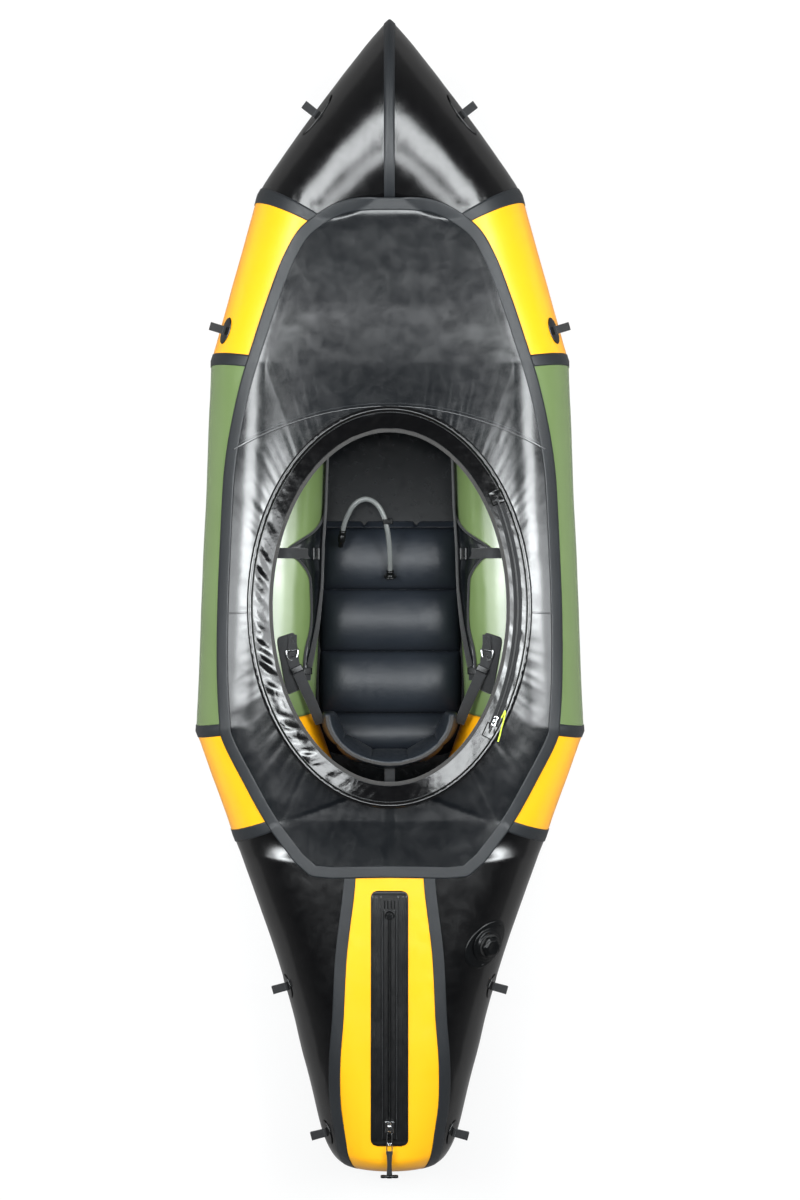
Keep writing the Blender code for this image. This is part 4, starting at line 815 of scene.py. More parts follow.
def rim_point(angle, out, height=0.0):
    """A point of the oval rim, some way out from its inner edge and above it."""
    return stacked((RIM_HALF[0] + out) * np.cos(angle),
                   RIM_Y + (RIM_HALF[1] + out) * np.sin(angle), RIM_Z + height)


# The deck's seam is a smooth curve as far as its square stern corners
SMOOTH = 17
front_seam = curve_through(np.vstack([SEAM[1] * np.array([-1.0, 1.0]), SEAM[:SMOOTH]]),
                           SMOOTH * 100 + 1)[100:]
right_seam = even_line(np.vstack([front_seam, SEAM[SMOOTH:]]), DECK_COUNT)
seam_loop = np.vstack([right_seam, right_seam[-2:0:-1] * np.array([-1.0, 1.0])])
reach = np.where(seam_loop[:, 1] > RIM_Y, FAN[1], FAN[2])
seam_angles = np.arctan2((seam_loop[:, 1] - RIM_Y) / reach, seam_loop[:, 0] / FAN[0])
deck_edge = rim_point(seam_angles, 0.004, 0.0002)
CROSSINGS = np.linspace(0, 1, 401)
probe = (seam_loop[:, None] * (1 - CROSSINGS)[None, :, None]
         + deck_edge[:, None, :2] * CROSSINGS[None, :, None])
_, outward = hull_top(probe[..., 0], probe[..., 1])
crown_share = (outward > 0).mean(axis=1)
edge_rise = deck_edge[:, 2] - hull_top(deck_edge[:, 0], deck_edge[:, 1])[0] - DECK_LIFT
to_rim = np.linalg.norm(deck_edge[:, :2] - seam_loop, axis=1)
in_front = probe[..., 1] > ARC_TOP - ARC_FALL * probe[..., 0] ** 2
arc_share = in_front.mean(axis=1)


def crown_ease(y):
    """How much a taut sheet rides above the crown's kinks: the crown averaged, less it."""
    steps = np.linspace(-EASE_REACH, EASE_REACH, 61)
    weight = np.cos(steps / EASE_REACH * math.pi / 2) ** 2
    total = sum(w * crown(y + d) for d, w in zip(steps, weight)) / weight.sum()
    return np.clip(total - crown(y), 0, 0.008)


def deck_point(column, share, lift=0.0):
    """The deck: lines from its seam to the rim, over the tubes and then down or up.

    Height is the hull's top, plus the rim's extra height times a power of the way in
    from the crown, plus folds that fan out from the rim and fine creases all over.
    """
    start, end = seam_loop[column], deck_edge[column, :2]
    plan = start * (1 - share)[..., None] + end * share[..., None]
    top, _ = hull_top(plan[..., 0], plan[..., 1])
    past = crown_share[column]
    inner = np.clip((share - past) / (1 - past), 0, 1)
    level = top + DECK_LIFT + edge_rise[column] * inner ** 1.6
    level = level + crown_ease(plan[..., 1]) * np.sin(inner * math.pi) ** 0.7
    points = stacked(plan[..., 0], plan[..., 1], level)
    from_seam = share * to_rim[column]
    from_rim = (1 - share) * to_rim[column]
    held = np.clip(from_seam / 0.03, 0, 1) * np.clip(from_rim / 0.012, 0, 1)
    fan = stacked(seam_angles[column] * 0.42, from_rim * 0.14, 0.0)
    gathers = GATHER * noise(fan, 0.011, 51) + PLEAT * folded(fan, 0.019, 52)
    gathers = gathers * (0.35 + 0.65 * np.clip(0.5 + noise(points, 0.16, 56), 0, 1))
    gathers = gathers * np.exp(-from_rim / GATHER_REACH)
    slack = SLACK * noise(points, 0.13, 53) + SLACK_FOLD * folded(points, 0.06, 54)
    creases = CREASE * folded(points, 0.025, 55)
    settle = soft_waves(points) * (1 - inner)
    folds = np.maximum(held * (gathers + slack + creases), -0.0008)
    points[..., 2] += settle + folds + lift
    return points


def ribbon(name, line, width, thick, up, body="hull", replaced=()):
    """Flat webbing along a line, its face turned to the given direction."""
    return swept(name, line, rounded_bar(width, thick, 6, 16), up, WEBBING, body, replaced)


def seam_ridge(name, line, width, height):
    """A felled seam in the deck: a low rounded ridge along a line."""
    return swept(name, line, rounded_bar(width, height, 3, 12), (0, 0, 1), DECK_CLOTH)


def stitches(name, line, up, material, pitch=0.006, size=STITCH, body="hull",
             slot=None):
    """A row of thread stitches: short rounded bars spread along a line."""
    share, length = run_of(line)
    count = int(length / pitch)
    middles = (np.arange(count) + 0.5) / count
    ends = []
    for offset in (-0.5, 0.5):
        place = middles + offset * size[0] / length
        ends.append(np.stack([np.interp(place, share, line[:, k]) for k in range(3)],
                             axis=-1))
    way = unit(ends[1] - ends[0])
    side = unit(np.cross(way, up))
    over = np.cross(side, way)
    angle = full_turn(6)
    profile = ((-0.5, 0.15), (-0.3, 1.0), (0.3, 1.0), (0.5, 0.15))
    middle = (ends[0] + ends[1]) / 2
    rings = [middle[:, None] + way[:, None] * size[0] * along
             + size[1] / 2 * wide * (side[:, None] * np.cos(angle)[None, :, None]
                                     + over[:, None] * np.sin(angle)[None, :, None] * 0.7)
             for along, wide in profile]
    points = np.stack(rings, axis=1)
    per = len(profile) * 6
    start = (np.arange(count) * per)[:, None, None]
    k = np.arange(6)
    ring = np.stack([k, (k + 1) % 6, (k + 1) % 6 + 6, k + 6], axis=-1)
    faces = np.concatenate([ring + 6 * r for r in range(len(profile) - 1)])
    quads = (start + faces[None]).reshape(-1, 4)
    caps = np.concatenate([start[:, 0] + k[None, ::-1],
                           start[:, 0] + k[None] + 6 * (len(profile) - 1)])
    mesh = bpy.data.meshes.new(name)
    mesh.from_pydata(points.reshape(-1, 3).tolist(), [],
                     quads.tolist() + caps.tolist())
    all_smooth(mesh)
    mesh.update()
    return place_object(name, capped(mesh), material, body, slot=slot)


front_columns = np.where(arc_share > 0.012)[0]
order = np.argsort(np.where(front_columns > DECK_COUNT, front_columns - len(seam_loop),
                            front_columns))
front_columns = front_columns[order]
column, t = grid_of(front_columns, np.linspace(0, 1, 84))
share = t * (arc_share[column] + 0.003 / to_rim[column])
front_deck = deck_point(column, share, 0.0006)
made = skin("deck_cloth_front", front_deck, DECK_CLOTH, (0, 0, -1), thick=DECK_THICK,
            replaced=("deck_front",))

loop_columns = np.arange(len(seam_loop))
column, t = grid_of(loop_columns, np.linspace(0, 1, 64))
first = arc_share[column]
share = first + (1 - first) * t
rear_deck = deck_point(column, share)
made = skin("deck_cloth_rear", rear_deck, DECK_CLOTH, (0, 0, -1), thick=DECK_THICK,
            closed_rows=True, replaced=("deck_rear",))

lap = deck_point(front_columns, arc_share[front_columns], 0.0012)
seam_ridge("deck_lap_seam", even_line(lap, 400), 0.005, 0.0012)
stitch_line = deck_point(front_columns, np.clip(arc_share[front_columns]
                                                - 0.006 / to_rim[front_columns], 0, 1), 0.0013)
stitches("deck_lap_stitches", even_line(stitch_line, 500), (0, 0, 1), THREAD,
         slot="deck_fabric")

# Short darts in the deck's sides
for side, flip in SIDES:
    here = int(np.argmin(np.abs(right_seam[:, 1] + 0.034)))
    dart = deck_point(np.full(40, here), np.linspace(0.08, 0.62, 40), 0.0008) * flip
    seam_ridge(f"deck_dart_{side}", dart, 0.004, 0.001)

# Edge tape over the deck's seam, half on the deck and half on the hull
run = unit(np.roll(seam_loop, -1, axis=0) - np.roll(seam_loop, 1, axis=0))
side_way = np.stack([-run[:, 1], run[:, 0]], axis=-1)
rows = []
for k in np.linspace(-0.5, 0.5, 9):
    place = seam_loop + side_way * k * TAPE_WIDTH
    height, _ = hull_top(place[:, 0], place[:, 1])
    points = stacked(place[:, 0], place[:, 1], height + DECK_LIFT + 0.0018)
    points[:, 2] += soft_waves(points)
    rows.append(points)
band = np.array(rows).transpose(1, 0, 2)
skin("deck_seam_tape", band, SEAM_TAPE, (0, 0, -1), thick=TAPE_THICK,
     closed_rows=True, replaced=("deck_edge_tape",))

# Nose skirt: closes the hollow between the two bow tubes, under the deck's front edge
nose = right_seam[right_seam[:, 1] > 0.78]
nose = np.vstack([nose[::-1] * np.array([-1.0, 1.0]), nose[1:]])
ahead_way = np.gradient(nose, axis=0)
ahead_way = unit(np.stack([-ahead_way[:, 1], ahead_way[:, 0]], axis=-1))
nose = nose + ahead_way * (TAPE_WIDTH / 2 - 0.0015)
high = hull_top(nose[:, 0], nose[:, 1])[0] + DECK_LIFT + 0.0012
low = hull_top(nose[:, 0], nose[:, 1], sheet=False)[0] - 0.004
down = np.linspace(0, 1, 14)
tuck = 0.12 * (high - low)[:, None] * np.sin(down * math.pi)
place = nose[:, None] - ahead_way[:, None] * tuck[..., None]
skirt = stacked(place[..., 0], place[..., 1],
                high[:, None] * (1 - down) + low[:, None] * down)
skin("deck_nose_skirt", skirt, HULL_BLACK, (0, 0.5, 0.2), thick=0.0009, slot="deck_fabric")

# ------------------------------------------------------------------ coaming

TURNS = full_turn(900)
SLEEVE_RADIUS = 0.0068
COLLAR_END = 0.875  # the share of the flare where the collar meets the rod's sleeve
ZIP_ENDS = (22.0, -25.0)


def collar_point(angle, share):
    """The collar: straight flare from the inner edge to the rod, with radial folds."""
    points = rim_point(angle, FLARE * share, FLARE_RISE * share)
    fan = stacked(angle * 0.39 + share * 0.04, share * 0.010, 0.0)
    folds = 0.0026 * noise(fan, 0.018, 61) + 0.0015 * folded(fan, 0.034, 62)
    where = (0.14 + 1.0 * np.exp(-(np.angle(np.exp(1j * (angle - 3.45))) / 0.75) ** 2)
             + 0.4 * np.exp(-(np.angle(np.exp(1j * angle)) / 0.6) ** 2)
             + 0.7 * np.exp(-(np.angle(np.exp(1j * (angle - 1.62))) / 0.22) ** 2))
    span = np.clip(share / COLLAR_END, 0, 1)
    swell = np.sin(span ** 1.6 * math.pi) * where
    folds = folds * swell
    crumple = 0.0003 * folded(points, 0.017, 63) * swell
    points[..., 2] += folds + crumple + 0.0012
    return points


def collar_height(x, y):
    """Height of the flat collar under a place: its way out is found by halving."""
    low, high = np.full(np.shape(x), -FLARE), np.full(np.shape(x), 2 * FLARE)
    for _ in range(26):
        out = (low + high) / 2
        oval = (x / (RIM_HALF[0] + out)) ** 2 + ((y - RIM_Y) / (RIM_HALF[1] + out)) ** 2
        low, high = np.where(oval > 1, out, low), np.where(oval > 1, high, out)
    return RIM_Z + FLARE_RISE * low / FLARE


a, s = grid_of(TURNS, np.linspace(0, COLLAR_END, 40))
collar = collar_point(a, s)
made = skin("collar_cloth", collar, COLLAR_FILM, (0, 0, -1), thick=0.0009,
            closed_rows=True, replaced=("coaming_collar",))

# Sleeve round the rod: its cloth is gathered, so the round is uneven
rod_line = rim_point(TURNS, FLARE, FLARE_RISE)
ring = circle(1.0, 24)
angle = full_turn(24)
round_rod = stacked(TURNS[:, None] * 0.42, angle * 0.004, 0.0)
pucker = 0.0003 * noise(round_rod, 0.008, 64) + 0.00025 * folded(round_rod, 0.018, 65)
profile = ring[None] * (SLEEVE_RADIUS + pucker)[..., None]
swept("rod_sleeve", rod_line, profile, (0, 0, 1), COLLAR_FILM, closed=True,
      replaced=("coaming_rod",))
welt = rim_point(TURNS, FLARE - 0.0082, FLARE_RISE * (FLARE - 0.0082) / FLARE + 0.0022)
stitches("rod_sleeve_stitches", np.vstack([welt, welt[:1]]), (0, 0, 1), THREAD,
         pitch=0.0065, slot="collar_fabric")

# Woven binding folded over the inner edge, with two rows of stitches
edge_line = rim_point(TURNS, 0.0035, 0.0019)
swept("inner_binding", edge_line, rounded_bar(0.0125, 0.0042, 4, 20), (0, 0, 1),
      BINDING, closed=True)
for number, out in enumerate((0.0005, 0.0068)):
    line = rim_point(TURNS, out, 0.0043)
    stitches(f"binding_stitches_{number}", np.vstack([line, line[:1]]), (0, 0, 1),
             THREAD, pitch=0.0055, size=(0.0034, 0.0008))

# Zip along the collar's right side
ZIP_CENTRE = np.array([-0.394, RIM_Y])
ZIP_REACH = 0.70


def zip_arc(angle, out=0.0, lift=0.0):
    x = ZIP_CENTRE[0] + (ZIP_REACH + out) * np.cos(angle)
    y = ZIP_CENTRE[1] + (ZIP_REACH + out) * np.sin(angle)
    return stacked(x, y, collar_height(x, y) + 0.0030 + lift)


ZIP_ANGLES = np.radians(np.linspace(ZIP_ENDS[1], ZIP_ENDS[0], 200))
a, k = grid_of(ZIP_ANGLES, np.linspace(-0.5, 0.5, 9))
skin("coaming_zip_cloth", zip_arc(a, k * 0.019), WEBBING, (0, 0, -1), thick=0.0009,
     replaced=("coaming_zip_tape",), slot="seam_tape")
line = zip_arc(ZIP_ANGLES, 0.0, 0.0010)
teeth = rounded_bar(1.0, 1.0, 4, 12)
ripple = 1 + 0.25 * np.cos(np.arange(len(line)) * math.pi)
profile = teeth[None] * np.stack([0.0052 * np.ones(len(line)), 0.0022 * ripple],
                                 axis=-1)[:, None]
swept("coaming_zip_coil", line, profile, (0, 0, 1), MOULDED)
for name, at in zip(("front", "rear"), ZIP_ENDS):
    a, k = grid_of(np.radians(at) + np.linspace(-0.5, 0.5, 12) * 0.036 / ZIP_REACH,
                   np.linspace(-0.5, 0.5, 12))
    patch = zip_arc(a, k * 0.030, 0.0012)
    patch[..., 2] += 0.0006 * folded(patch, 0.009, 66)
    skin(f"coaming_zip_stop_{name}", patch, COLLAR_FILM, (0, 0, -1), thick=0.001)

# ------------------------------------------------------------------ seat

PAD_HALF = 0.184
PAD_FRONT = 0.18498
PAD_LENGTH = 0.583
PAD_HEIGHT = 0.085
PAD_EDGE = 0.014
FLOOR_TOP = 0.0018
CHANNEL = 0.158
WELDS = np.array([0.0, CHANNEL, 2 * CHANNEL, 3 * CHANNEL, PAD_LENGTH])
CORNER = 0.0552


def pad_crown(back):
    """A half circle's height over each channel, nothing at its welds."""
    back = np.clip(back, 0, PAD_LENGTH - 1e-6)
    index = np.clip(np.searchsorted(WELDS, back, side="right") - 1, 0, 3)
    place = 2 * (back - WELDS[index]) / (WELDS[index + 1] - WELDS[index]) - 1
    return np.sqrt(np.clip(1 - place ** 2, 0, 1))


def pad_half_width(back):
    near = np.minimum(np.minimum(back + CORNER / 2, PAD_LENGTH - back), CORNER)
    rounded = CORNER - np.sqrt(np.clip(CORNER ** 2 - (CORNER - near) ** 2, 0, None))
    return PAD_HALF - rounded - 0.006 * (1 - pad_crown(back))


def pad_point(back, share):
    """The pad's top: channel crown times a flattened root across, with weld puckers."""
    half = pad_half_width(back)
    x = half * np.sin(math.pi / 2 * share)
    y = PAD_FRONT - back
    across = np.clip(np.abs(np.sin(math.pi / 2 * share)), 0, 1)
    crown_here = pad_crown(back)
    rise = 0.34 + 0.66 * crown_here
    side = np.sqrt(np.clip(1 - across ** 5, 0, 1))
    z = FLOOR_TOP + PAD_EDGE + (PAD_HEIGHT - PAD_EDGE) * rise * side
    points = stacked(x, y, z)
    by_weld = stacked(points[..., 0], back * 0.10, 0.0)
    pucker = 0.0022 * noise(by_weld, 0.011, 71) + 0.0016 * folded(by_weld, 0.019, 72)
    near_weld = np.exp(-crown_here / 0.22) * side
    at_side = np.exp(-(1 - across) / 0.10)
    by_side = stacked(0.0, back, z * 0.15)
    tuck = 0.0024 * noise(by_side, 0.014, 73) * at_side * side
    soft = 0.0012 * noise(points, 0.05, 74)
    points[..., 2] += pucker * near_weld + tuck + soft * side
    return points


fine = [w0 + (w1 - w0) * (1 - np.cos(np.linspace(0, math.pi, 46)[:-1])) / 2
        for w0, w1 in zip(WELDS, WELDS[1:])]
backs = np.r_[np.concatenate(fine), PAD_LENGTH]
b, s = grid_of(backs, np.linspace(-1, 1, 101))
pad_top_grid = pad_point(b, s)
FILM_STIFFNESS = 18.0


def inflated(mesh, name, pressure, frames, cap):
    """Blow a closed skin up with the cloth solver, then hold each point within the cap.

    Returns the moved points; gravity is off, and the flat underside is pinned.
    """
    made = new_object(name + "_simulated", mesh.copy())
    start = places_of(mesh)
    cloth = made.modifiers.new("cloth", "CLOTH")
    cloth.settings.quality = 6
    cloth.settings.mass = 0.15
    cloth.settings.tension_stiffness = FILM_STIFFNESS
    cloth.settings.compression_stiffness = FILM_STIFFNESS
    cloth.settings.shear_stiffness = FILM_STIFFNESS
    cloth.settings.bending_stiffness = 0.05
    cloth.settings.use_pressure = True
    cloth.settings.uniform_pressure_force = pressure
    cloth.settings.effector_weights.gravity = 0.0
    cloth.collision_settings.use_collision = False
    if mesh.attributes.get("held"):
        held = made.vertex_groups.new(name="held")
        marks = np.empty(len(mesh.vertices), np.float32)
        mesh.attributes["held"].data.foreach_get("value", marks)
        held.add(np.where(marks > 0.5)[0].tolist(), 1.0, "REPLACE")
        cloth.settings.vertex_group_mass = "held"
    scene = bpy.context.scene
    for step in range(1, frames + 1):
        scene.frame_set(step)
    graph = bpy.context.evaluated_depsgraph_get()
    moved = places_of(made.evaluated_get(graph).to_mesh())
    step = moved - start
    size = np.linalg.norm(step, axis=1, keepdims=True)
    moved = start + step * np.minimum(1, cap / np.maximum(size, 1e-9))
    made.evaluated_get(graph).to_mesh_clear()
    bpy.data.objects.remove(made)
    scene.frame_set(1)
    return moved


def closed_pad(name, top_grid, floor_level):
    """The pad's top and its flat underside as one closed mesh."""
    low = top_grid.copy()
    low[..., 2] = floor_level
    low[..., :2] *= np.array([0.985, 1.0])
    both = np.concatenate([top_grid, low[:, ::-1]], axis=1)
    mesh = mesh_of(name, both, closed_columns=True)
    return capped(mesh)


mesh = closed_pad("seat_cushion", pad_top_grid, FLOOR_TOP + 0.0006)
points = places_of(mesh)
crown_here = pad_crown(PAD_FRONT - points[:, 1])
marks = ((points[:, 2] < FLOOR_TOP + 0.003) | (crown_here < 0.12)).astype(np.float32)
layer = mesh.attributes.new("held", "FLOAT", "POINT")
layer.data.foreach_set("value", marks)
moved = inflated(mesh, "seat_cushion", 3.0, 14, 0.008)
mesh.vertices.foreach_set("co", moved.reshape(-1))
mesh.attributes.remove(mesh.attributes["held"])
mesh.update()
seat = place_object("seat_cushion", mesh, SEAT_CLOTH, "hull", ("seat_pad",))
all_smooth(mesh)

# Welded bars between the channels: narrow flat ribs with a pressed edge
for number, weld in enumerate(WELDS[1:-1], start=1):
    share = np.linspace(-0.9, 0.9, 90)
    line = pad_point(np.full(90, weld), share)
    line[:, 2] += 0.0006
    swept(f"seat_weld_{number}", line, rounded_bar(0.007, 0.0014, 4, 12), (0, 0, 1),
          SEAT_CLOTH)

# Flange welded along the pad's front, with its notches
x, k = grid_of(np.linspace(-0.168, 0.168, 120), np.linspace(0, 1, 10))
notch = sum(0.010 * np.exp(-((x + at) / 0.006) ** 2) for at in (0.067, -0.067))
flange_y = PAD_FRONT + 0.002 + (0.016 - notch) * k
flange_z = FLOOR_TOP + 0.022 - 0.012 * k + 0.0012 * noise(stacked(x, k * 0.01, 0.0), 0.02, 75)
skin("seat_front_flange", stacked(x, flange_y, flange_z), SEAT_CLOTH, (0, 0.2, -1),
     thick=0.0012)

# ------------------------------------------------------------------ backrest

BACK_HALF = 0.150
BACK_DEPTH = 0.118
BACK_THICK = 0.044
BACK_EDGE = 0.008
BACK_TOP = 0.286
BACK_Y = -0.39402
BACK_LOW = 0.0816
BACK_CELLS = 5
BACK_LEAN = math.tan(math.radians(33))  # how fast the lower edge climbs along the wings


def back_point(turn, rise, side):
    """The backrest: a U in plan, each cell a half circle's swell between upright welds."""
    x = BACK_HALF * np.sin(turn)
    y = BACK_Y + BACK_DEPTH * (1 - np.cos(turn))
    low = BACK_LOW + BACK_LEAN * (y - BACK_Y)
    high = BACK_TOP - 0.020 * (1 - np.cos(turn))
    cell = np.clip((turn / (math.pi / 2) + 1) / 2 * BACK_CELLS, 0, BACK_CELLS - 1e-6)
    place = 2 * (cell - np.floor(cell)) - 1
    swell = np.sqrt(np.clip(1 - place ** 2, 0, 1))
    crown_here = 0.45 + 0.55 * swell
    end = np.sqrt(np.clip(1 - (2 * rise - 1) ** 4, 0, 1))
    thin = 1 - 0.55 * np.clip((rise - 0.35) / 0.65, 0, 1) ** 1.5
    half = BACK_EDGE / 2 + (BACK_THICK - BACK_EDGE) / 2 * crown_here * end * thin
    level = low + (high - low) * rise
    level = level + 0.004 * (swell - 0.6) * np.clip((rise - 0.75) / 0.25, 0, 1)
    normal = stacked(np.sin(turn) * BACK_DEPTH, -np.cos(turn) * BACK_HALF, 0.0)
    normal = unit(normal)
    fan = stacked(turn * 0.12, level * 0.8, side * 0.3)
    gather = np.exp(-np.minimum(rise, 1 - rise) / 0.12)
    ripple = (0.0018 * noise(fan, 0.012, 81) * gather + 0.0011 * folded(fan, 0.02, 82)
              * np.exp(-swell / 0.35) + 0.0008 * noise(fan, 0.04, 83))
    points = stacked(x, y, level) + normal * ((half + ripple * end) * side)[..., None]
    return points


turn = (math.pi / 2) * np.linspace(-1, 1, 161)
rise = (1 - np.cos(np.linspace(0, math.pi, 41))) / 2
t, r = grid_of(turn, rise)
loop = np.concatenate([back_point(t, r, -1.0), back_point(t, r, 1.0)[:, ::-1][:, 1:-1]],
                      axis=1)
mesh = capped(mesh_of("back_cushion", loop, closed_columns=True))
moved = inflated(mesh, "back_cushion", 1.5, 10, 0.004)
mesh.vertices.foreach_set("co", moved.reshape(-1))
mesh.update()
back = place_object("back_cushion", mesh, SEAT_CLOTH, "backrest", ("backrest",))
all_smooth(mesh)

# Grey tape bound over the backrest's top edge
turn = (math.pi / 2) * np.linspace(-0.97, 0.97, 240)
top_edge = (back_point(turn, np.full(240, 0.985), 1.0) * 0.62
            + back_point(turn, np.full(240, 0.985), -1.0) * 0.38)
top_edge[:, 2] += 0.0035
swept("back_top_binding", top_edge, rounded_bar(0.0065, 0.0026, 4, 16), (0, 0, 1),
      BINDING, body="backrest")

# ------------------------------------------------------------------ straps

SCALLOP = np.array([(0.390, 178.0), (0.290, 176.0), (0.235, 174.0), (0.206, 168.0),
                    (0.173, 151.0), (0.141, 129.0), (0.118, 119.0), (0.095, 131.0),
                    (0.063, 143.0), (0.030, 148.0), (-0.067, 151.0), (-0.132, 144.0),
                    (-0.183, 143.0)])
BUCKLE_Y = 0.113
SCALLOP_INNER = np.array([(0.390, 186.0), (0.030, 186.0), (-0.020, 176.0), (-0.067, 165.0),
                          (-0.132, 153.0), (-0.183, 150.0)])
outer_edge = curve_through(SCALLOP, 260)
along = outer_edge[:, 0]
inner_edge = np.interp(-along, -SCALLOP_INNER[:, 0], SCALLOP_INNER[:, 1])
y, k = grid_of(along, np.linspace(0, 1, 34))
angle = np.radians(outer_edge[:, 1][:, None] * (1 - k) + inner_edge[:, None] * k)
across = stacked(y, k * 0.010, 0.0)
puff = 0.004 * np.sin(np.clip(k, 0, 1) * math.pi) ** 0.5
folds = 0.0011 * noise(across, 0.016, 91) + 0.0008 * folded(across, 0.03, 92)
band = hull_point(y, angle, 0.0022 + puff + folds * np.sin(k * math.pi))
for side, flip in SIDES:
    made = skin(f"thigh_band_{side}", band * flip, DECK_CLOTH,
                np.array([0.32, 0.1, 0.1488]) * flip, thick=0.0012,
                replaced=(f"thigh_strap_{side}",), slot="seat_fabric")
    rim_line = hull_point(along, np.radians(outer_edge[:, 1]), 0.0034) * flip
    swept(f"thigh_band_binding_{side}", even_line(rim_line, 300),
          rounded_bar(0.006, 0.0026, 4, 12), (flip[0] * -0.6, 0, 0.8), WEBBING)

    # Webbing sewn along the band's inner edge, beside the pad
    edge_y = np.linspace(0.40, -0.176, 120)
    turn = np.radians(np.interp(-edge_y, [-0.40, -0.02, 0.06, 0.176],
                                [168.0, 166.0, 160.0, 148.0]))
    edge_web = hull_point(edge_y, turn, 0.0100)
    normal = edge_web - hull_point(edge_y, turn, 0.0)
    ribbon(f"band_webbing_{side}", edge_web * flip, 0.021, WEB_THICK, unit(normal) * flip)


# Webbing from under the rim to the thigh band, with its slider buckle
for side, flip in SIDES:
    start = np.array([0.272, BUCKLE_Y, 0.2895])
    end = hull_point(BUCKLE_Y, math.radians(158), 0.008)
    middle = hull_point(BUCKLE_Y, math.radians(126), 0.011)
    line = curve_through([start, middle, end], 60) * flip
    up = np.array([-0.55 * flip[0], 0.0, 0.83])
    ribbon(f"thigh_webbing_{side}", line, 0.025, WEB_THICK, up)
    buckle = hull_point(BUCKLE_Y, math.radians(150), 0.012) * flip
    for number, shift in enumerate((-0.006, 0.006)):
        bar = even_line([(buckle[0], BUCKLE_Y + half, buckle[2]) for half in (-0.016, 0.016)],
                        12)
        bar[:, 0] += shift * flip[0]
        bar[:, 2] += shift * 0.7 + 0.001
        swept(f"thigh_slider_{side}_{number}", bar, rounded_bar(0.004, 0.0035, 4, 12),
              (0, 0, 1), MOULDED)
    # Buckle and loose end at the band's foot
    foot = hull_point(np.linspace(-0.175, -0.212, 20), math.radians(147.0), 0.006) * flip
    ribbon(f"thigh_tail_{side}", foot, 0.020, 0.002, up)
    swept(f"thigh_foot_buckle_{side}", foot[2:12], rounded_bar(0.026, 0.005, 4, 16),
          up, MOULDED)
    # Slim cord that laces the band's upper edge
    lace = hull_point(np.linspace(0.37, 0.20, 90),
                      np.radians(178.0 + 3.0 * np.sin(np.linspace(0, 14 * math.pi, 90))),
                      0.004) * flip
    swept(f"band_lacing_{side}", lace, circle(0.0012, 8), up, WEBBING)

# Patches under the rings, with a box-stitched keeper of webbing
PATCH_Y, PATCH_ANGLE, PATCH_TURN = -0.162936, 2.2165682, math.radians(-13)
RING_PLACE = np.array([0.2356, -0.12164, 0.27003])
RING_ALONG = np.array([-0.04097, 0.99916, 0.0])
RING_AROUND = np.array([-0.78348, 0.07085, -0.61737])
RING_OUT = np.array([-0.62014, -0.02543, 0.78408])


def patch_grid(y, angle, size, turn, lift):
    """A patch on the hull: a square with its corners rounded by an eighth power."""
    u, v = grid_of(np.linspace(-1, 1, 24), np.linspace(-1, 1, 24))
    corner = np.clip((np.abs(u) ** 8 + np.abs(v) ** 8), 1, None) ** (-1 / 8)
    u, v = u * corner, v * corner
    a, b = u * size[1] / 2, v * size[0] / 2
    along = a * math.cos(turn) - b * math.sin(turn)
    around = a * math.sin(turn) + b * math.cos(turn)
    return hull_point(y + along, angle + around / TUBE_RADIUS, lift)


for side, flip in SIDES:
    grid = patch_grid(PATCH_Y, PATCH_ANGLE, (0.050, 0.150), PATCH_TURN, 0.0018)
    skin(f"ring_patch_{side}", grid * flip, WEBBING, np.array([0.32, -0.16, 0.1488])
         * flip, thick=0.001, replaced=(f"strap_patch_{side}",), slot="black_fabric")
    share = np.linspace(0, 1, 30)
    keeper = (RING_PLACE + RING_ALONG * (0.002 + 0.036 * share[:, None])
              - RING_OUT * 0.0010 * share[:, None]) * flip
    keeper[:, 2] += 0.0022 * (1 - share) ** 2
    ribbon(f"ring_keeper_{side}", keeper, 0.024, 0.003, RING_OUT * flip)
    middle = (RING_PLACE + RING_ALONG * 0.021 + RING_OUT * 0.0017) * flip
    box = [middle + (RING_ALONG * a + RING_AROUND * b) * flip for a, b in
           ((-0.013, -0.009), (0.013, -0.009), (0.013, 0.009), (-0.013, 0.009),
            (-0.013, -0.009), (0.013, 0.009), (0.013, -0.009), (-0.013, 0.009))]
    stitches(f"ring_box_stitch_{side}", even_line(np.array(box), 200),
             RING_OUT * flip, THREAD, pitch=0.004, size=(0.0026, 0.0008))


# Straps from the rings to the backrest's wings: two lengths that meet in an adjuster
WING = np.array([0.1655, -0.3058, 0.2336])
ADJUSTER_SHARE = 0.4
for side, flip in SIDES:
    tip = RING_PLACE - RING_ALONG * 0.022 + RING_OUT * 0.001
    route = np.array([tip + RING_ALONG * 0.004, tip, tip * 0.72 + WING * 0.28
                      + np.array([0, 0, 0.004]), tip * 0.35 + WING * 0.65
                      + np.array([0, 0, 0.003]), WING + np.array([0.004, 0.004, 0.002])])
    line = curve_through(route, 121) * flip
    share = np.linspace(0, 1, 121)[:, None]
    up = unit((RING_OUT * (1 - share) + np.array([0.25, -0.1, 0.9]) * share) * flip)
    cut = int(ADJUSTER_SHARE * 120)
    first = ribbon(f"ring_strap_{side}", line[:cut + 1], 0.026, WEB_THICK, up[:cut + 1], None)
    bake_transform(first)
    second = ribbon(f"back_strap_{side}", line[cut:], 0.026, WEB_THICK, up[cut:], None,
                    (f"backrest_strap_{side}",))
    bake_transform(second)
    lock = line[cut - 4:cut + 5] + up[cut - 4:cut + 5] * 0.0012
    swept(f"strap_adjuster_{side}", lock, rounded_bar(0.031, 0.0062, 6, 20),
          up[cut - 4:cut + 5], MOULDED)

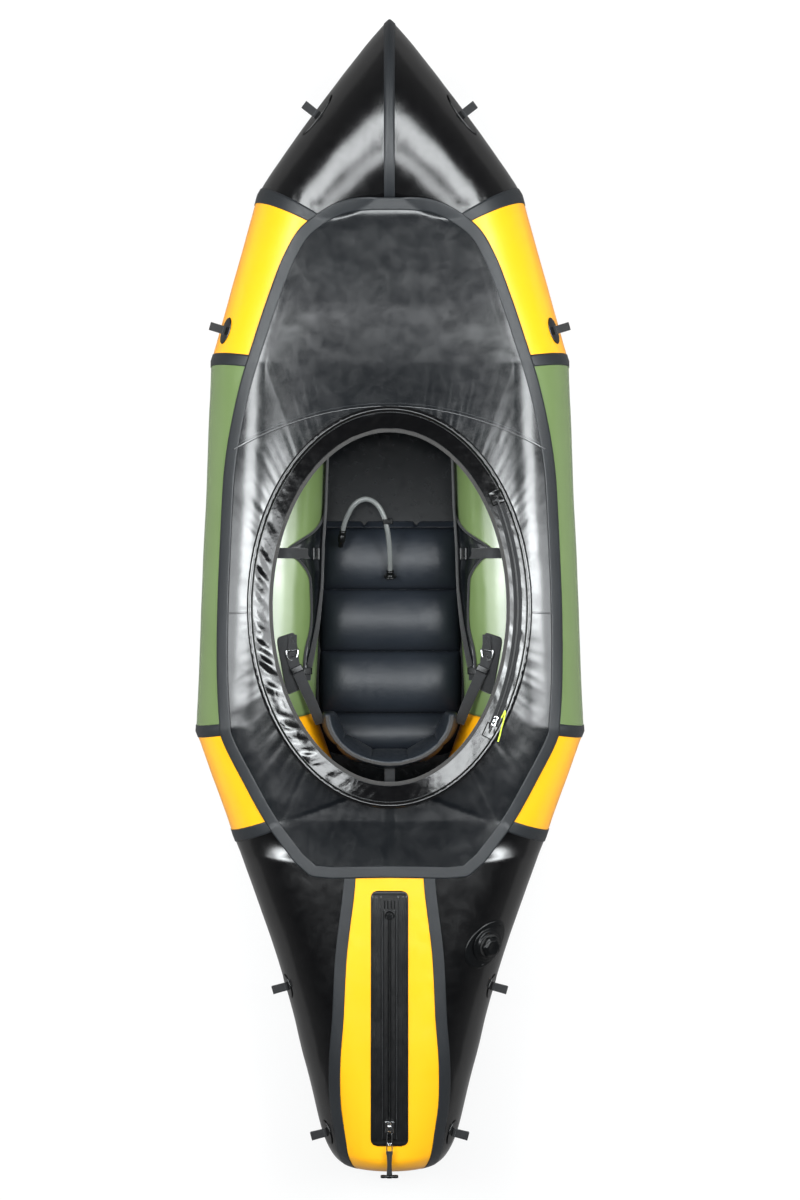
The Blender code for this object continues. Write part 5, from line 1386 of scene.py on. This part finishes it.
# Rear strap, from the back of the backrest to the bulkhead
rear = back_point(np.array([0.0]), np.array([0.75]), 1.0)[0]
wall = rear + np.array([0.0, -0.036, 0.002])
line = curve_through([rear + np.array([0, 0.002, 0.0]), (rear + wall) / 2
                      + np.array([0, 0, 0.002]), wall], 40)
made = ribbon("rear_strap", line, 0.025, WEB_THICK, (0, 0, 1), None,
              ("backrest_rear_strap",))
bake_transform(made)

# Steel rings: a straight bar and a deep bow, from one round wire
RING_HALF, RING_DEEP, RING_WIRE = 0.017, 0.024, 0.0024
turn = full_turn(160)
c, s = np.cos(turn), np.sin(turn)
a = RING_HALF * np.sign(c) * np.abs(c) ** 0.72
b = np.where(s < 0, -RING_DEEP * np.abs(s) ** 0.85, 0.0004 * np.abs(s) ** 0.4)
for side, flip in SIDES:
    wire = (RING_PLACE + RING_AROUND * a[:, None] + RING_ALONG * b[:, None]) * flip
    swept(f"steel_ring_{side}", wire, circle(RING_WIRE, 16), RING_OUT * flip, STEEL,
          body=f"ring_{side}", replaced=(f"d_ring_{side}",), closed=True)

# ------------------------------------------------------------------ inflation hose


HOSE_ROUTE = [(0, 0.07432, 0.09679), (0, 0.08808, 0.10488), (-0.00015, 0.10537, 0.11444),
              (-0.001, 0.125, 0.124), (-0.00319, 0.15123, 0.13386),
              (-0.0073, 0.17859, 0.14096), (-0.014, 0.205, 0.145),
              (-0.02493, 0.22867, 0.14822), (-0.04063, 0.245, 0.14893),
              (-0.06, 0.252, 0.147), (-0.0787, 0.24678, 0.14344),
              (-0.09396, 0.23307, 0.13793), (-0.105, 0.214, 0.131),
              (-0.11233, 0.19796, 0.12496), (-0.11722, 0.18081, 0.11867),
              (-0.12, 0.165, 0.113)]
HOSE_RADIUS = 0.0065
hose_line = even_line(curve_through(HOSE_ROUTE, 400), 300)
hose = swept("inflation_tube", hose_line, circle(HOSE_RADIUS, 28), (0.3, 0, 1), CLEAR_VINYL,
             replaced=("inflation_hose",))
end_way = hose_line[-1] - hose_line[-4]
mouthpiece = turned("mouthpiece", [(0.0066, -0.0115), (0.0088, -0.010), (0.0092, -0.004),
                                   (0.0076, -0.001), (0.0095, 0.002), (0.0095, 0.016),
                                   (0.0088, 0.019), (0.0070, 0.021), (0.0068, 0.032),
                                   (0.0052, 0.034), (0.0036, 0.034), (0.0036, 0.030)],
                    hose_line[-1], end_way, MOULDED, replaced=("hose_mouthpiece",),
                    wave=lambda angle, radius: 1 + 0.02 * np.cos(16 * angle)
                    * (radius > 0.009))
NIPPLE = np.array([0.0, 0.06194, 0.08964])
NIPPLE_AXIS = np.array([0.0, math.cos(math.radians(30)), math.sin(math.radians(30))])
turned("weld_nipple", [(0.0155, -0.0035), (0.0165, -0.002), (0.0150, 0.0004),
                       (0.0098, 0.002), (0.0088, 0.009), (0.0098, 0.0105),
                       (0.0098, 0.0135), (0.0078, 0.0158), (0.0067, 0.016)],
       NIPPLE, NIPPLE_AXIS, MOULDED, replaced=("hose_nipple",))
place = hose_line[int(len(hose_line) * 0.40)]
way = hose_line[int(len(hose_line) * 0.43)] - place
clip = place + np.linspace(-0.5, 0.5, 8)[:, None] * np.array([0.0, 0.012, 0.002])
clip[:, 0] += 0.006
swept("hose_keeper", clip, rounded_bar(0.026, 0.0165, 5, 24), (0, 0, 1), MOULDED)

# ------------------------------------------------------------------ coaming zip slider

SLIDER_TURN = math.radians(-22.8)
radial = np.array([math.cos(SLIDER_TURN), math.sin(SLIDER_TURN), 0.0])
tangent = np.array([-radial[1], radial[0], 0.0])
tilt = math.atan2(FLARE_RISE, FLARE)
across = radial * math.cos(tilt) + WORLD_UP * math.sin(tilt)
over = np.cross(across, tangent)
middle = zip_arc(np.array([SLIDER_TURN]), 0.0, 0.0024)[0]


def slider_of(name, middle, way, up, size, body, replaced=()):
    """A zip slider: a plate waisted by 1 - 0.22 cos squared, and the bridge over it."""
    wide, long, high = size
    line = middle + np.linspace(-0.5, 0.5, 40)[:, None] * way * long
    share = np.linspace(-1, 1, 40)[:, None, None]
    plate = np.tile(rounded_bar(1.0, high * 0.42, 6, 32), (40, 1, 1))
    taper = (1 - 0.22 * np.cos(share[..., 0] * math.pi * 0.5) ** 2) * (
        1 - np.abs(share[..., 0]) ** 12) ** 0.25
    plate[..., 0] *= wide * taper
    swept(name, line, plate, up, STEEL, body, replaced)
    bend = np.linspace(-1, 1, 40)
    arch = middle + np.outer(bend * long * 0.40, way) + np.outer(
        high * (0.15 + 0.62 * (1 - np.abs(bend) ** 3)), up)
    swept(f"{name}_bridge", arch, rounded_bar(wide * 0.34, high * 0.16, 5, 20), up,
          STEEL, body)


slider_of("rim_slider_body", middle, tangent, over, (0.013, 0.024, 0.010), "rim_slider",
          ("coaming_zip_slider",))
knot = np.array([[0.2660, -0.2800], [0.2720, -0.2680], [0.2752, -0.2640], [0.2738, -0.2740],
                 [0.2700, -0.2900], [0.2655, -0.3060], [0.2622, -0.3200], [0.2575, -0.3360]])
heights = np.array([collar_height(x, y) for x, y in knot])
lifts = np.array([0.0120, 0.0125, 0.0115, 0.0105, 0.0090, 0.0080, 0.0075, 0.0075])
cord_line = even_line(curve_through(np.column_stack([knot, heights + lifts]), 240), 180)
pull_cord = swept("zip_pull_cord", cord_line, circle(0.0018, 16), (0.2, 0, 1), CORD,
                  body="rim_slider")

# ------------------------------------------------------------------ cargo zip

ZIP_WAY = np.array([0.0, 0.99831, -0.05814])
ZIP_UP = np.array([0.0, 0.05814, 0.99831])
ZIP_ACROSS = np.array([1.0, 0.0, 0.0])
ZIP_TOP = np.array([0.0, -0.69702, 0.30544])
ZIP_END = np.array([0.0, -1.31902, 0.34167])
PLATE_HALF, PLATE_CORNER = 0.0448, 0.016
PLATE_END = ZIP_END + ZIP_WAY * 0.021
ZIP_LENGTH = 0.60206
RIDGES = ((0.040, 0.0012), (0.0335, 0.0007), (0.0300, 0.0007), (0.0205, 0.0010))

u, v = grid_of(np.linspace(-1, 1, 181), np.linspace(0, 1, 220))
from_end = np.minimum(v, 1 - v) * ZIP_LENGTH
inset = np.clip(PLATE_CORNER - from_end, 0, None)
half = PLATE_HALF - PLATE_CORNER + np.sqrt(np.clip(PLATE_CORNER ** 2 - inset ** 2, 0, None))
x = u * half
y = ZIP_TOP[1] + (PLATE_END[1] - ZIP_TOP[1]) * v
edge_near = np.minimum((1 - np.abs(u)) * half, from_end)
ridge = sum(rise * np.exp(-((np.abs(x) - place) / 0.0009) ** 2) for place, rise in RIDGES)
ridge = ridge * np.clip((from_end - 0.012) / 0.004, 0, 1)
frame_line = 0.0010 * np.exp(-((from_end - 0.0065) / 0.0011) ** 2)
waves = 0.0006 * noise(stacked(x, y, 0 * x), 0.05, 121)
plate = stern_top(x, y, 0.0024 + ridge + frame_line + waves - 0.0012 * np.exp(
    -(edge_near / 0.0012) ** 2))
skin("zip_plate", plate, ZIP_RUBBER, (0, -1.0, -1), thick=0.0012,
     replaced=("zip_base",))


def zip_place(share, lift, shift=0.0):
    """Points along the zip's middle line, raised and moved sideways."""
    share = np.asarray(share, float)[..., None]
    return (ZIP_TOP * (1 - share) + PLATE_END * share + ZIP_UP * lift + ZIP_ACROSS * shift)


RAIL_RISE = 0.0034
rail = zip_place(np.linspace(0.075, 0.972, 260), RAIL_RISE)
rail_profile = np.array([(-0.0066, -0.0016), (0.0066, -0.0016), (0.0066, 0.0006),
                         (0.0052, 0.0024), (0.0020, 0.0032), (-0.0020, 0.0030),
                         (-0.0052, 0.0018), (-0.0066, 0.0004)])
for side, flip in SIDES:
    shift = np.array([0.0090, 0.0, 0.0]) * flip[0]
    profile = rail_profile * np.array([flip[0], 1.0])
    swept(f"zip_rail_{side}", rail + shift, profile[::int(flip[0])], ZIP_UP, ZIP_RUBBER,
          replaced=("zip_chain",) if side == "right" else ())
    stitches(f"zip_rail_stitch_{side}", rail + ZIP_UP * 0.0001 + shift * 1.86, ZIP_UP,
             THREAD, pitch=0.0052, size=(0.0034, 0.0011))
stitches("zip_teeth", rail + ZIP_UP * 0.0012, ZIP_UP, MOULDED, pitch=0.0030,
         size=(0.0019, 0.0062))

# Docking end: a horseshoe of moulded plastic, and four short ribs ahead of it
bend = np.linspace(-0.72, 0.72, 90) * math.pi
dock = zip_place(np.full(90, 0.096), 0.0052) + ZIP_WAY * (
    0.0105 * np.cos(bend))[:, None] + ZIP_ACROSS * (0.0098 * np.sin(bend))[:, None]
swept("zip_dock", dock, rounded_bar(0.0052, 0.0056, 5, 20), ZIP_UP, MOULDED)
swept("zip_dock_block", zip_place(np.linspace(0.094, 0.112, 20), 0.0048),
      rounded_bar(0.0125, 0.0048, 5, 20), ZIP_UP, MOULDED)
for number, shift in enumerate((-0.0120, -0.0042, 0.0042, 0.0120)):
    swept(f"dock_rib_{number}", zip_place(np.linspace(0.038, 0.070, 14), 0.0034, shift),
          rounded_bar(0.0024, 0.0030, 4, 12), ZIP_UP, MOULDED)

SLIDER_AT = np.array([0.0, -1.2736, 0.35175]) + ZIP_WAY * 0.024
slider_of("zip_slider_body", SLIDER_AT, ZIP_WAY, ZIP_UP,
          (0.023, 0.028, 0.0125), "cargo_slider", ("zip_slider",))

# Pull: a tail ring on the slider, a wire link in it, a moulded strap and a T-bar
PIN = np.array([0.0, -1.28918, 0.35365])
turn = full_turn(90)
c, s = np.cos(turn), np.sin(turn)
tail = (PIN + ZIP_WAY * (0.0125 + 0.0145 * np.sign(c) * np.abs(c) ** 0.8)[:, None]
        + ZIP_ACROSS * (0.0058 * np.sign(s) * np.abs(s) ** 0.7)[:, None] - ZIP_UP * 0.0004)
swept("slider_tail_ring", tail, circle(0.0012, 12), ZIP_UP, STEEL, "cargo_slider", (),
      closed=True)
link = (PIN - ZIP_WAY * (0.0095 - 0.0120 * (np.sign(c) * np.abs(c) ** 0.7))[:, None]
        + ZIP_ACROSS * (0.0062 * np.sign(s) * np.abs(s) ** 0.6)[:, None])
swept("pull_link", link, circle(0.0014, 12), ZIP_UP, STEEL, "cargo_pull", (),
      closed=True)
share = np.linspace(0, 1, 60)
strap = (PIN - ZIP_WAY * (0.0165 + 0.0600 * share)[:, None]
         + ZIP_UP * (0.0010 * np.sin(share * math.pi))[:, None])
width = 0.0145 - 0.0035 * np.sin(share * math.pi) + 0.002 * (share < 0.12)
profile = np.tile(rounded_bar(1.0, 0.0030, 5, 24), (60, 1, 1))
profile[..., 0] *= width[:, None]
swept("pull_strap", strap, profile, ZIP_UP, WEBBING, "cargo_pull", ("zip_pull",))
stitches("pull_strap_stitch", strap[6:20] + ZIP_UP * 0.0017, ZIP_UP, THREAD,
         pitch=0.003, size=(0.0022, 0.0010), body="cargo_pull")
bar_middle = PIN - ZIP_WAY * 0.075
turned("pull_bar", [(0.0024, -0.0210), (0.0036, -0.0200), (0.0041, -0.0150),
                    (0.0036, -0.0060), (0.0046, -0.0045), (0.0046, 0.0045),
                    (0.0036, 0.0060), (0.0041, 0.0150), (0.0036, 0.0200),
                    (0.0024, 0.0210)],
       bar_middle, ZIP_ACROSS, MOULDED, "cargo_pull", count=28)

# ------------------------------------------------------------------ valve

VALVE_Y = -0.83003
VALVE_PLACE = np.array([0.23567, VALVE_Y, 0.28751])
VALVE_OUT = np.array([0.54847, -0.1485, 0.82288])
VALVE_SEAT = np.array([0.24077, -0.83141, 0.29517])
around = np.linspace(0, math.pi / 2, 4000)
VALVE_ANGLE = around[np.argmin(np.abs(hull_point(np.full(4000, VALVE_Y), around)[:, 0]
                                      - 0.23498))]


def round_patch(y, angle, size, lift, count, rings=30):
    """A round patch on the hull, from rings of points; its edge thins to nothing."""
    turn, share = grid_of(full_turn(count),
                          np.linspace(0.02, 1.0, rings))
    rise = lift * np.clip((1 - share) / 0.05, 0.25, 1)
    rise = rise + 0.0005 * np.exp(-((share - 0.93) / 0.03) ** 2)
    return hull_point(y + share * size[1] / 2 * np.sin(turn),
                      angle + share * size[0] / 2 * np.cos(turn) / TUBE_RADIUS, rise)


grid = round_patch(VALVE_Y, VALVE_ANGLE, (0.115, 0.115), 0.0020, 96)
skin("valve_patch", grid, MOULDED, (0, VALVE_Y, 0.15), thick=0.0012,
     replaced=("valve_body",), closed_rows=True)


def lobed(count, depth, least):
    """Grip lobes: the radius waves round the axis where it is more than least."""
    return lambda angle, radius: 1 - depth * (0.5 - 0.5 * np.cos(count * angle)) * (
        radius > least)


turned("valve_ring", [(0.0195, 0.0), (0.0425, 0.0004), (0.0424, 0.0016),
                      (0.0390, 0.0024), (0.0345, 0.0030), (0.0325, 0.0040),
                      (0.0316, 0.0060), (0.0311, 0.0084), (0.0300, 0.0090),
                      (0.0236, 0.0090), (0.0217, 0.0082), (0.0215, 0.0010)],
       VALVE_PLACE + VALVE_OUT * 0.0008, VALVE_OUT, MOULDED,
       wave=lobed(12, 0.02, 0.0405), count=144)
turned("valve_washer", [(0.0198, 0.0), (0.0279, 0.0), (0.0283, 0.0008),
                        (0.0279, 0.0018), (0.0198, 0.0018)],
       VALVE_SEAT, VALVE_OUT, GASKET, replaced=("valve_gasket",), count=72)
turned("valve_cap_body", [(0.0190, -0.0080), (0.0190, 0.0022), (0.0258, 0.0024),
                          (0.0262, 0.0040), (0.0262, 0.0105), (0.0252, 0.0122),
                          (0.0212, 0.0128), (0.0206, 0.0150), (0.0176, 0.0164),
                          (0.0120, 0.0160), (0.0090, 0.0150), (0.0010, 0.0148)],
       VALVE_SEAT, VALVE_OUT, MOULDED, "valve_cap", ("valve_cap",), count=144,
       wave=lobed(6, 0.13, 0.0200))

# The two rivets of the cap's tether, beside the ring; the tether itself isn't modelled
for number, (turn, reach) in enumerate(((2.0, 0.050), (4.6, 0.050))):
    spot = hull_point(VALVE_Y + reach * math.sin(turn),
                      VALVE_ANGLE + reach * math.cos(turn) / TUBE_RADIUS, 0.0022)
    turned(f"tether_rivet_{number}", [(0.0042, 0.0), (0.0042, 0.0010),
                                      (0.0026, 0.0022), (0.0004, 0.0025)],
           spot, VALVE_OUT, MOULDED, count=28)

# ------------------------------------------------------------------ tie loops

# Place along the hull and angle round it for each pair of loops
TIES = (("bow", 1.0323, 30.0), ("front", 0.62998, 34.0), ("stern", -0.94302, 24.0),
        ("tail", -1.28898, 30.0))
LEAN = math.radians(35)
STEP = 0.007
LOOP_REACH = 0.0385
PATCH_LIFT = 0.0012

for name, tie_y, degrees in TIES:
    angle = math.radians(degrees)
    place = hull_point(tie_y, angle, PATCH_LIFT)
    along = unit(hull_point(tie_y + STEP, angle, PATCH_LIFT) - place)
    round_way = hull_point(tie_y, angle + STEP / TUBE_RADIUS, PATCH_LIFT) - place
    out = unit(np.cross(along, round_way))
    round_way = np.cross(out, along)
    way = out * math.cos(LEAN) - round_way * math.sin(LEAN)
    thick = np.cross(way, along)
    bend = np.linspace(-1, 1, 70)
    reach = LOOP_REACH * (1 - np.abs(bend) ** 5)
    open_by = np.sign(bend) * (0.0011 + 0.0032 * np.clip(reach / LOOP_REACH, 0, 1) ** 3
                               * np.minimum(1, np.abs(bend) * 2.5))
    inside = np.array([0.0, tie_y, 0.15])
    for side, flip in SIDES:
        skin(f"tie_patch_{name}_{side}", round_patch(
    tie_y, angle, (0.040, 0.058), 0.0020, 80, 18) * flip, HULL_BLACK, inside,
    replaced=(f"tie_loop_{name}_{side}",), closed_rows=True)
        line = (place + np.outer(reach, way) + np.outer(open_by, thick)) * flip
        run = np.gradient(line, axis=0)
        swept(f"tie_webbing_{name}_{side}", line, rounded_bar(0.020, 0.0017, 6, 16),
              np.cross(along * flip, run), WEBBING)
        tack = (place + way * 0.006 + np.linspace(-0.008, 0.008, 30)[:, None] * along
                + thick * 0.0022) * flip
        stitches(f"tie_tack_{name}_{side}", tack, thick * flip, THREAD, pitch=0.0024,
                 size=(0.0020, 0.0012))

# ------------------------------------------------------------------ stage and light

def empty_tree(block):
    """The node tree of a material or world, without the nodes that it starts with."""
    block.use_nodes = True
    block.node_tree.nodes.clear()
    return block.node_tree


FLOOR_HALF, FLOOR_LEVEL = 30, -0.002
ground = bpy.data.meshes.new("floor")
ground.from_pydata([(x * FLOOR_HALF, y * FLOOR_HALF, FLOOR_LEVEL) for x, y in
                    ((-1, -1), (1, -1), (1, 1), (-1, 1))], [], [(0, 1, 2, 3)])
new_object("floor", ground)
paper = bpy.data.materials.new("matt_white_paper")
tree = empty_tree(paper)
rays = add(tree, "ShaderNodeLightPath")
matt = add(tree, "ShaderNodeBsdfDiffuse", {"Color": (0.9, 0.9, 0.9, 1)})
white = add(tree, "ShaderNodeEmission", {"Color": (1, 1, 1, 1), "Strength": 1.0})
share = add(tree, "ShaderNodeMath", {0: rays.outputs["Is Camera Ray"], 1: 0.8},
            operation="MULTIPLY")
dim = add(tree, "ShaderNodeEmission", {"Color": (1, 1, 1, 1), "Strength": 0.35})
seen = add(tree, "ShaderNodeMixShader", {0: share.outputs[0], 1: matt.outputs[0],
                                         2: white.outputs[0]})
mirrored_floor = add(tree, "ShaderNodeMixShader", {0: rays.outputs["Is Glossy Ray"],
                                                   1: seen.outputs[0], 2: dim.outputs[0]})
add(tree, "ShaderNodeOutputMaterial", {"Surface": mirrored_floor.outputs[0]})
ground.materials.append(paper)

sky = bpy.data.worlds.new("studio")
bpy.context.scene.world = sky
tree = empty_tree(sky)
rays = add(tree, "ShaderNodeLightPath")
way = add(tree, "ShaderNodeTexCoord")
parts = add(tree, "ShaderNodeSeparateXYZ", {"Vector": way.outputs["Generated"]})
# Mirror rays see the pale room near the horizon and the dark ceiling above
falloff = add(tree, "ShaderNodeMapRange", {"Value": parts.outputs["Z"], "From Min": 0.15,
                                           "From Max": 0.75, "To Min": 0.14, "To Max": 0.01})
plain = add(tree, "ShaderNodeBackground", {"Color": (1, 1, 1, 1), "Strength": 0.24})
shown = add(tree, "ShaderNodeBackground", {"Color": (1, 1, 1, 1), "Strength": 1.0})
mirror = add(tree, "ShaderNodeBackground", {"Color": (1, 1, 1, 1),
                                            "Strength": falloff.outputs[0]})
first = add(tree, "ShaderNodeMixShader", {0: rays.outputs["Is Glossy Ray"],
                                          1: plain.outputs[0], 2: mirror.outputs[0]})
seen = add(tree, "ShaderNodeMath", {0: rays.outputs["Is Camera Ray"],
                                    1: rays.outputs["Is Transmission Ray"]},
           operation="MAXIMUM")
second = add(tree, "ShaderNodeMixShader", {0: seen.outputs[0], 1: first.outputs[0],
                                           2: shown.outputs[0]})
add(tree, "ShaderNodeOutputWorld", {"Surface": second.outputs[0]})


LAMP_TINT = (0.95, 0.985, 1.0)


def softbox(name, place, aim, size, power):
    """A rectangular lamp at a place, turned to shine at the aim."""
    lamp = bpy.data.lights.new(name, "AREA")
    lamp.shape = "RECTANGLE"
    lamp.size, lamp.size_y = size
    lamp.energy = power
    lamp.color = LAMP_TINT
    made = new_object(name, lamp)
    made.location = place
    made.rotation_euler = (Vector(aim) - Vector(place)).to_track_quat("-Z", "Y").to_euler()


for sign in (-1, 1):
    softbox("high_softbox", (1.08 * sign, 0.0, 3.0), (0.2 * sign, 0.0, 0.2), (0.8, 2.5), 36)
    softbox("side_softbox", (2.05 * sign, 0.0, 2.35), (0.0, 0.0, 0.2), (1.0, 2.7), 38)
    softbox("bow_softbox", (1.62 * sign, 1.0, 2.9), (0.0, 0.9, 0.2), (1.9, 1.0), 54)

bpy.context.scene.view_settings.view_transform = "Standard"
